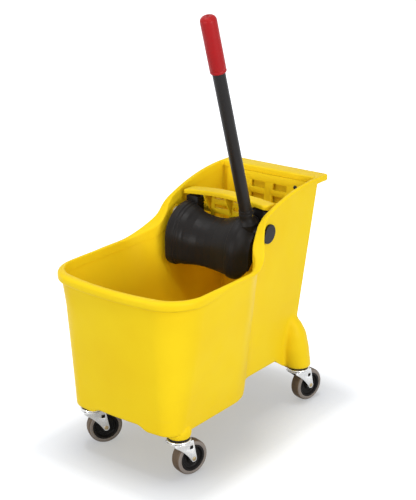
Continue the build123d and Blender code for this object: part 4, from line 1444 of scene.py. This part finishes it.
    def points(self, plan: Outline, height: Array | None = None, inset: float = 0.0) -> Array:
        """Places every station of the right half on an outline.

        Args:
            plan: The outline's sizes.
            height: Heights of the stations, where the legs are part of the outline.
            inset: How far that outline is drawn in.

        Returns:
            Plan positions, one row for each station.
        """
        half, tower, front, bow, corner, back = (
            np.broadcast_to(np.asarray(value, float), (len(self.run),))
            for value in (plan.half, plan.tower, plan.front, plan.bow, plan.corner, plan.back)
        )
        start, end = plan.neck
        bend_front = (half**2 + bow**2) / (2.0 * bow)
        centre_front = front - bow + bend_front
        corner_x = half - corner
        corner_y = centre_front - np.sqrt((bend_front - corner) ** 2 - corner_x**2)
        front_turn = np.arctan2(corner_x, centre_front - corner_y)
        turn = 2.0 * np.arctan((half - tower) / (end - start))
        bend = (end - start) / np.sin(turn)
        bend_out, bend_in = bend * self.neck_share, bend * (1.0 - self.neck_share)
        share = self.share
        sweep = front_turn + (math.pi / 2.0 - front_turn) * share
        origin = np.stack([tower - self.fan_inset + inset, back - self.fan_inset + inset], axis=1)
        reach = self.fan_inset / math.tan(math.radians(90.0 + self.fan_turn[0]))
        choices_x = [
            bend_front * np.sin(front_turn * share),
            corner_x + corner * np.sin(sweep),
            half,
            half - bend_out * (1.0 - np.cos(turn * share)),
            tower + bend_in * (1.0 - np.cos(turn * (1.0 - share))),
            tower,
            tower,
            (origin[:, 0] - reach) * (1.0 - share),
        ]
        choices_y = [
            centre_front - bend_front * np.cos(front_turn * share),
            corner_y - corner * np.cos(sweep),
            corner_y + (start - corner_y) * share,
            start + bend_out * np.sin(turn * share),
            end - bend_in * np.sin(turn * (1.0 - share)),
            end + (origin[:, 1] - reach - end) * share,
            back,
            back,
        ]
        placed = np.stack([np.choose(self.run, choices_x), np.choose(self.run, choices_y)], axis=1)
        fan = self.run == Run.FAN
        walls = np.stack([tower, back], axis=1)[fan]
        heights = None if height is None else height[fan]
        placed[fan] = self._fan(origin[fan], walls, plan.rear_corner, share[fan], heights, inset)
        return placed

    def _fan(self, origin: Array, walls: Array, round_off: float, share: Array, height: Array | None,
             inset: float) -> Array:
        """Follows rays out of the tower's rear corner to its walls, and to the leg where there is one.

        Args:
            origin: Where each ray starts.
            walls: Places of the tower's side wall and back wall for each ray.
            round_off: Radius of the corner.
            share: Place of each ray in the fan, from 0 to 1.
            height: Height of each ray, or None to leave the leg out.
            inset: How far the leg is drawn in.

        Returns:
            The points that the rays reach.
        """
        turn = np.radians(self.fan_turn[0] + (self.fan_turn[1] - self.fan_turn[0]) * share)
        ray = np.stack([np.cos(turn), np.sin(turn)], axis=1)
        if height is not None:
            shift = eased(height, self.leg_heights, self.leg_shifts, self.leg_eases[0])
            radius = eased(height, self.leg_heights, self.leg_radii, self.leg_eases[1]) - inset
            middle = np.stack([self.caster[0] - shift, self.caster[1] - self.leg_skew * shift], axis=1)
        near, far = np.zeros(len(share)), np.full(len(share), self.fan_reach)
        for _ in range(self.fan_halvings):
            reach = (near + far) / 2.0
            spot = origin + ray * reach[:, None]
            past = spot - walls + round_off
            corner = np.linalg.norm(np.maximum(past, 0.0), axis=1)
            outside = corner + np.minimum(past.max(axis=1), 0.0) - round_off
            if height is not None:
                to_leg = np.linalg.norm(spot - middle, axis=1) - radius
                mix = np.clip(0.5 + 0.5 * (to_leg - outside) / self.leg_blend, 0.0, 1.0)
                outside = to_leg + (outside - to_leg) * mix - self.leg_blend * mix * (1.0 - mix)
            inside = outside < 0.0
            near, far = np.where(inside, reach, near), np.where(inside, far, reach)
        return origin + ray * near[:, None]

    def rim_height(self, y: Array, drop: Array | float) -> Array:
        """Height of the rim's side view at a place, offset down from its top by a drop."""
        hollow, turn = self.hollow[0], math.radians(self.hollow[1])
        slope, ease = self.slope[0], math.radians(self.slope[1])
        crown = self.crown
        crown_y = self.rise + (hollow + crown) * math.sin(turn)
        crown_z = self.rim_top + hollow - (hollow + crown) * math.cos(turn)
        slope_y = crown_y + (slope - crown) * math.sin(ease)
        slope_z = crown_z - (slope - crown) * math.cos(ease)

        def arc(middle_y: float, middle_z: float, radius: Array, side: float) -> Array:
            """Height of an arc above or below its middle."""
            return middle_z + side * np.sqrt(np.maximum(radius**2 - (y - middle_y) ** 2, 0.0))

        return np.select(
            [
                y <= self.rise,
                y <= self.rise + (hollow + drop) * math.sin(turn),
                y <= crown_y - (crown - drop) * math.sin(ease),
                y <= slope_y,
            ],
            [
                self.rim_top - drop,
                arc(self.rise, self.rim_top + hollow, hollow + drop, -1.0),
                arc(crown_y, crown_z, crown - drop, 1.0),
                arc(slope_y, slope_z, slope - drop, 1.0),
            ],
            slope_z + slope - drop,
        )

    def floor_height(self, y: Array) -> Array:
        """Height of the underside along the middle, with the step from basin to tower."""
        return self.basin_floor + (self.tower_floor - self.basin_floor) * smooth_step(y, *self.floor_step)

    def arch(self, x: Array, y: Array, grow: float) -> Array:
        """How far the middle of the basin's floor is raised at a place."""
        inner, outer = self.arch_half
        rise = self.arch_height * (1.0 - smooth_step(np.abs(x), inner + grow, outer + grow))
        return rise * (1.0 - smooth_step(y, *self.floor_step))

    def underside(self, x: Array, y: Array) -> Array:
        """Height of the underside at a place, with its arch and the dips of the rear legs."""
        level = self.floor_height(y) + self.arch(x, y, 0.0)
        across = np.abs(x) - self.caster[0]
        leg = 1.0 - smooth_step(np.hypot(across, y - self.caster[1]), *self.leg_reach)
        return level + (self.leg_low - level) * leg

    def inner_floor(self, x: Array, y: Array) -> Array:
        """Height of the floor inside the tank at a place."""
        return self.wall + self.floor_height(y) + self.arch(x, y, self.wall)

    def _row(self, inset: float, height: Array, legs: bool) -> Array:
        """One ring of the wall at given heights, drawn in by an inset, with or without the legs."""
        plan = self.points(self.tank_outline(height, inset), height if legs else None, inset)
        return np.column_stack([plan, height])

    def _settle(self, inset: float, surface: Callable[[Array, Array], Array], legs: bool) -> Array:
        """Finds where each station of a leaning wall meets a surface.

        Args:
            inset: How far the wall is drawn in.
            surface: Gives the surface's height from x and y.
            legs: Whether the legs are part of the wall.

        Returns:
            The ring at which they meet.
        """
        ring = self._row(inset, np.full(len(self.run), self.settle_start), legs)
        for _ in range(self.settle_rounds - 1):
            ring = self._row(inset, (ring[:, 2] + surface(ring[:, 0], ring[:, 1])) / 2.0, legs)
        ring[:, 2] = (ring[:, 2] + surface(ring[:, 0], ring[:, 1])) / 2.0
        return ring

    def _to_rim(self, inset: float, drop: Array | float, legs: bool) -> Array:
        """Finds where each station of a leaning wall meets the rim, at a drop below its top."""
        return self._settle(inset, lambda x, y: self.rim_height(y, drop), legs)

    def _spine_rows(self, edge: Array, surface: Callable[[Array, Array], Array],
                    steps: Sequence[float]) -> list[Array]:
        """Rings from a wall's foot in to the middle of a floor.

        Args:
            edge: The ring at the wall.
            surface: Gives the floor's height from x and y.
            steps: Shares of the way from the middle to the wall.

        Returns:
            The rings, in the order of the steps.
        """
        middle = np.column_stack([np.zeros(len(edge)), np.clip(edge[:, 1], *self.spine)])
        rows = []
        for share in steps:
            plan = middle + (edge[:, :2] - middle) * share
            rows.append(np.column_stack([plan, surface(plan[:, 0], plan[:, 1])]))
        return rows

    def _rim_rows(self) -> tuple[list[Array], Array, Array]:
        """Rings over the rim, from under its lip to the foot of its inner bead.

        Returns:
            The rings, and each station's depth of lip and of bead.
        """
        lip = self.points(self.lip)
        tangent = np.gradient(lip, axis=0)
        outward = np.stack([tangent[:, 1], -tangent[:, 0]], axis=1)
        outward /= np.linalg.norm(outward, axis=1)[:, None]
        fade = smooth_step(lip[:, 1], *self.lip_fade)
        ledge = smooth_step(lip[:, 1], *self.ledge_fade)
        drop = self.lip_height + (self.flush_height - self.lip_height) * fade
        drop = drop + (self.ledge - drop) * ledge
        foot = self.lip_height + (self.ledge - self.lip_height) * ledge
        inner = self._to_rim(self.wall + self.bead, 0.0, False)[:, :2]
        outer = self._to_rim(0.0, drop, True)[:, :2]
        width = np.linalg.norm(lip - inner, axis=1)
        proud = np.einsum("ij,ij->i", lip - outer, outward)
        thin = smooth_step(lip[:, 1], *self.round_fade)
        tops, unders, beads = self.rounds
        top_most = tops + (self.tower_rounds[0] - tops) * thin
        top_round = np.minimum(top_most, self.top_share * np.minimum(width, drop))
        bead_round = np.minimum(beads, self.bead_share * width)
        under_most = unders + (self.tower_rounds[1] - unders) * thin
        under_round = np.clip(self.under_shares[0] * proud, self.least_under, under_most)
        under_round = np.minimum(under_round, self.under_shares[1] * drop)

        def ring(plan: Array, inset: Array, depth: Array) -> Array:
            """A ring drawn in from a plan, at a depth below the rim's top."""
            spots = plan - outward * inset[:, None]
            return np.column_stack([spots, self.rim_height(spots[:, 1], depth)])

        quarter = np.radians(self.round_turns)
        rows = []
        for turn in quarter:
            under = drop - under_round * (1.0 - math.cos(turn))
            rows.append(ring(lip, under_round * (1.0 - math.sin(turn)), under))
        for turn in np.radians(self.top_turns):
            rows.append(ring(lip, top_round * (1.0 - math.cos(turn)), top_round * (1.0 - math.sin(turn))))
        level = np.zeros(len(lip))
        top, shoulder = rows[-1][:, :2], inner + outward * bead_round[:, None]
        for share in self.flat_shares:
            rows.append(ring(top + (shoulder - top) * share, level, level))
        for turn in quarter:
            rows.append(ring(inner, bead_round * (math.sin(turn) - 1.0), bead_round * (1.0 - math.cos(turn))))
        rows.append(ring(inner, level, foot))
        return rows, drop, foot

    def rows(self) -> list[Array]:
        """Stacks the rings of the right half, from the middle of the underside to that of the inner floor.

        Returns:
            Rings of points in millimetres.
        """
        rim, drop, bead_drop = self._rim_rows()
        foot = self._settle(self.foot_round, self.underside, True)
        low = foot[:, 2]
        rows = self._spine_rows(foot, self.underside, np.linspace(0.0, 1.0, self.floor_rows))
        for turn in np.radians(self.foot_turns):
            rows.append(self._row(self.foot_round * (1.0 - math.cos(turn)),
                                  low + self.foot_round * (1.0 - math.sin(turn)), True))
        start, split = low + self.foot_round, self.split_height
        high = self._to_rim(0.0, drop, True)[:, 2]
        for share in np.linspace(0.0, 1.0, self.low_rows, endpoint=False):
            rows.append(self._row(0.0, start + (split - start) * share, True))
        for share in np.linspace(0.0, 1.0, self.high_rows):
            rows.append(self._row(0.0, split + (high - split) * share, True))
        rows += rim
        inside = self._to_rim(self.wall, bead_drop, False)[:, 2]
        sole = self._settle(self.wall + self.floor_cove, self.inner_floor, False)
        floor = sole[:, 2]
        for share in np.linspace(0.0, 1.0, self.inner_rows):
            rows.append(self._row(self.wall, inside + (floor + self.floor_cove - inside) * share, False))
        for turn in np.radians(self.cove_turns):
            rows.append(self._row(self.wall + self.floor_cove * (1.0 - math.cos(turn)),
                                  floor + self.floor_cove * (1.0 - math.sin(turn)), False))
        rows += self._spine_rows(sole, self.inner_floor, np.linspace(1.0, 0.0, self.floor_rows))
        return rows

    def mesh(self) -> Mesh:
        """Skins both halves of the tank."""
        whole = []
        for ring in self.rows():
            other = ring[-2:0:-1] * np.array([-1.0, 1.0, 1.0])
            whole.append(np.concatenate([ring, other]) * MM)
        return skinned("tank_skin", whole, self.sharp)

    def caster_place(self, side: float, end: float) -> Vector:
        """Place of a caster's stem on the floor, in metres, on a side and at an end of the tank."""
        return Vector((side * self.caster[0], end * self.caster[1], 0.0)) * MM

    def fittings(self) -> list[Mesh]:
        """Turns the front bosses, the sockets inside the tank and the pads behind the pivots."""
        made = []
        across, *height = self.pad_place
        for side in SIDES:
            made += [lathe("socket", in_metres(self.socket), self.caster_place(side, end)) for end in SIDES]
            made.append(lathe("boss", in_metres(self.boss), self.caster_place(side, -1.0)))
            pivot = Vector((side * across, *height)) * MM
            made.append(lathe("pad", in_metres(self.pad), pivot, Vector((side, 0.0, 0.0))))
        return made

    def build(self, shop: Workshop) -> None:
        """Makes the tank's piece in place of its solid."""
        shell = joined("tank", [self.mesh(), *self.fittings()])
        shop.place("tank", shell, Slot.YELLOW, Body.BUCKET.value, "bucket_shell")


class Reach(Enum):
    """What a lamp lights: the object alone, or the floor alone, where it draws the object's shadow."""

    OBJECT = "EXCLUDE"
    FLOOR = "INCLUDE"


def facing(place: Vector, aim: Vector) -> Any:
    """Turn of a camera or a lamp that looks from a place towards an aim."""
    return (aim - place).to_track_quat("-Z", "Y").to_euler()


@dataclass(frozen=True)
class Lamp:
    """A square soft lamp: where it hangs, the height that it faces on the middle line, its side and power."""

    name: str
    place: Triple
    aim_height: float
    size: float
    watts: float
    reach: Reach = Reach.OBJECT

    def hang(self, floor: Object) -> None:
        """Hangs the lamp and limits what it lights, with the floor in or out."""
        data = bpy.data.lights.new(self.name, "AREA")
        data.size = self.size
        data.energy = self.watts
        lamp = new_object(self.name, data)
        lamp.location = self.place
        lamp.rotation_euler = facing(Vector(self.place), UP * self.aim_height)
        lit = bpy.data.collections.new(f"lit_by_{self.name}")
        lit.objects.link(floor)
        lamp.light_linking.receiver_collection = lit
        lit.collection_objects[0].light_linking.link_state = self.reach.value


LAMPS = (
    Lamp("key", (2.8, -0.5, 0.9), 0.3, 1.0, 35.0),
    Lamp("spark", (1.6, -1.0, 2.4), 0.4, 0.3, 10.0),
    Lamp("front", (-0.5, -3.2, 0.95), 0.25, 0.7, 29.0),
    Lamp("top", (-1.6, -1.3, 5.6), 0.0, 1.8, 95.0),
    Lamp("shade", (-0.2, -0.3, 6.0), 0.0, 1.8, 300.0, Reach.FLOOR),
)


@dataclass
class Studio:
    """Camera, lamps, world and floor, in metres."""

    eye: Triple = (1.5147, -1.9379, 1.2582)
    aim: Triple = (0.02609, 0.0, 0.41203)
    lens: float = 87.48
    sensor: float = 36.0
    sight: float = 60.0
    ambient: float = 0.5
    floor_half: float = 14.0
    # the floor's blue tint is painted against the yellow light that the tank throws back onto it
    floor_colour: Colour = (0.43, 0.45, 0.49)
    # distances from the footprint and the glow at each: the weak glow near the object paints a shadow pool,
    # the full glow farther out turns the floor white
    shadow_pool_glow: tuple[float, float, float, float] = (0.03, 0.24, 0.385, 1.0)
    footprint: Triple = (0.17, 0.29, 0.0)

    def camera(self) -> None:
        """Stands the camera where the photograph was taken from."""
        data = bpy.data.cameras.new("camera")
        data.lens = self.lens
        data.sensor_width = self.sensor
        data.clip_end = self.sight
        camera = new_object("camera", data)
        camera.location = self.eye
        camera.rotation_euler = facing(Vector(self.eye), Vector(self.aim))
        bpy.context.scene.camera = camera

    @staticmethod
    def shown(board: Board) -> Socket:
        """Is 1 where a surface is seen directly, mirrored or through glass, and 0 where it gives light."""
        path = board.add("ShaderNodeLightPath").outputs
        seen = board.maths("MAXIMUM", path["Is Camera Ray"], path["Is Glossy Ray"])
        return board.maths("MAXIMUM", seen, path["Is Transmission Ray"])

    def world(self) -> None:
        """Lights the scene evenly and shows white behind it."""
        world = bpy.data.worlds.new("studio")
        bpy.context.scene.world = world
        board = Board.on(world)
        strength = board.ranged(self.shown(board), 0.0, 1.0, self.ambient, 1.0)
        back = board.add("ShaderNodeBackground", {"Color": WHITE, "Strength": strength})
        board.add("ShaderNodeOutputWorld", {"Surface": back.outputs[0]})

    def floor(self) -> Object:
        """Lays a floor that keeps the shadow of the overhead lamp, paints a shadow pool round the object with
        a weaker glow there, and turns white away from the object.
        """
        half = self.floor_half
        mesh = bpy.data.meshes.new("floor")
        corners = [(-half, -half, 0.0), (half, -half, 0.0), (half, half, 0.0), (-half, half, 0.0)]
        mesh.from_pydata(corners, [], [range(len(corners))])
        floor = new_object("floor", mesh)
        material = bpy.data.materials.new("studio_floor")
        board = Board.on(material)
        across = board.add("ShaderNodeVectorMath", {0: board.own_place()}, operation="ABSOLUTE").outputs[0]
        for step, value in (("SUBTRACT", self.footprint), ("MAXIMUM", (0.0, 0.0, 0.0))):
            across = board.add("ShaderNodeVectorMath", {0: across, 1: value}, operation=step).outputs[0]
        away = board.add("ShaderNodeVectorMath", {0: across}, operation="LENGTH").outputs["Value"]
        # the weaker glow close to the footprint paints a shadow pool on the floor
        glow = board.maths("MULTIPLY", self.shown(board), board.ranged(away, *self.shadow_pool_glow))
        # blue tint that cancels the yellow light thrown onto the floor by the tank
        diffuse = board.add("ShaderNodeBsdfDiffuse", {"Color": (*self.floor_colour, 1.0)})
        lift = board.add("ShaderNodeEmission", {"Color": WHITE, "Strength": glow})
        both = board.add("ShaderNodeAddShader", {0: diffuse.outputs[0], 1: lift.outputs[0]})
        board.add("ShaderNodeOutputMaterial", {"Surface": both.outputs[0]})
        mesh.materials.append(material)
        return floor

    def build(self) -> None:
        """Sets up everything round the object."""
        bpy.context.scene.view_settings.view_transform = "Standard"
        self.camera()
        self.world()
        floor = self.floor()
        for lamp in LAMPS:
            lamp.hang(floor)


def dress_nodes(materials: dict[Slot, Material]) -> None:
    """Gives each shown node of the frame its slot's finish."""
    slots = {row["node"]: Slot(row["material_slot"]) for row in frame["record"]["subparts"]}
    for name, node in frame["nodes"].items():
        node.data.materials.clear()
        node.data.materials.append(materials[slots[name]])


def main() -> None:
    """Builds the dressed bucket in order."""
    logging.basicConfig(level=logging.INFO, format="%(message)s")
    effects = Effects()
    materials = {slot: finish.build(effects) for slot, finish in FINISHES.items()}
    dress_nodes(materials)
    shop = Workshop(materials, Trees(), DARK_SCREW.build(effects), BRASS_RIVET.build(effects))
    tank = TankShell()
    tank.build(shop)
    wringer = Wringer()
    wringer.build(shop)
    Lever(Vector(wringer.socket_foot) * MM, wringer.handle_axis).build(shop)
    for corner, angle in CASTERS:
        side = 1.0 if corner.endswith("right") else -1.0
        end = -1.0 if corner.startswith("front") else 1.0
        Caster(corner, tank.caster_place(side, end), angle).build(shop)
    Studio().build()


if __name__ == "__main__":
    main()
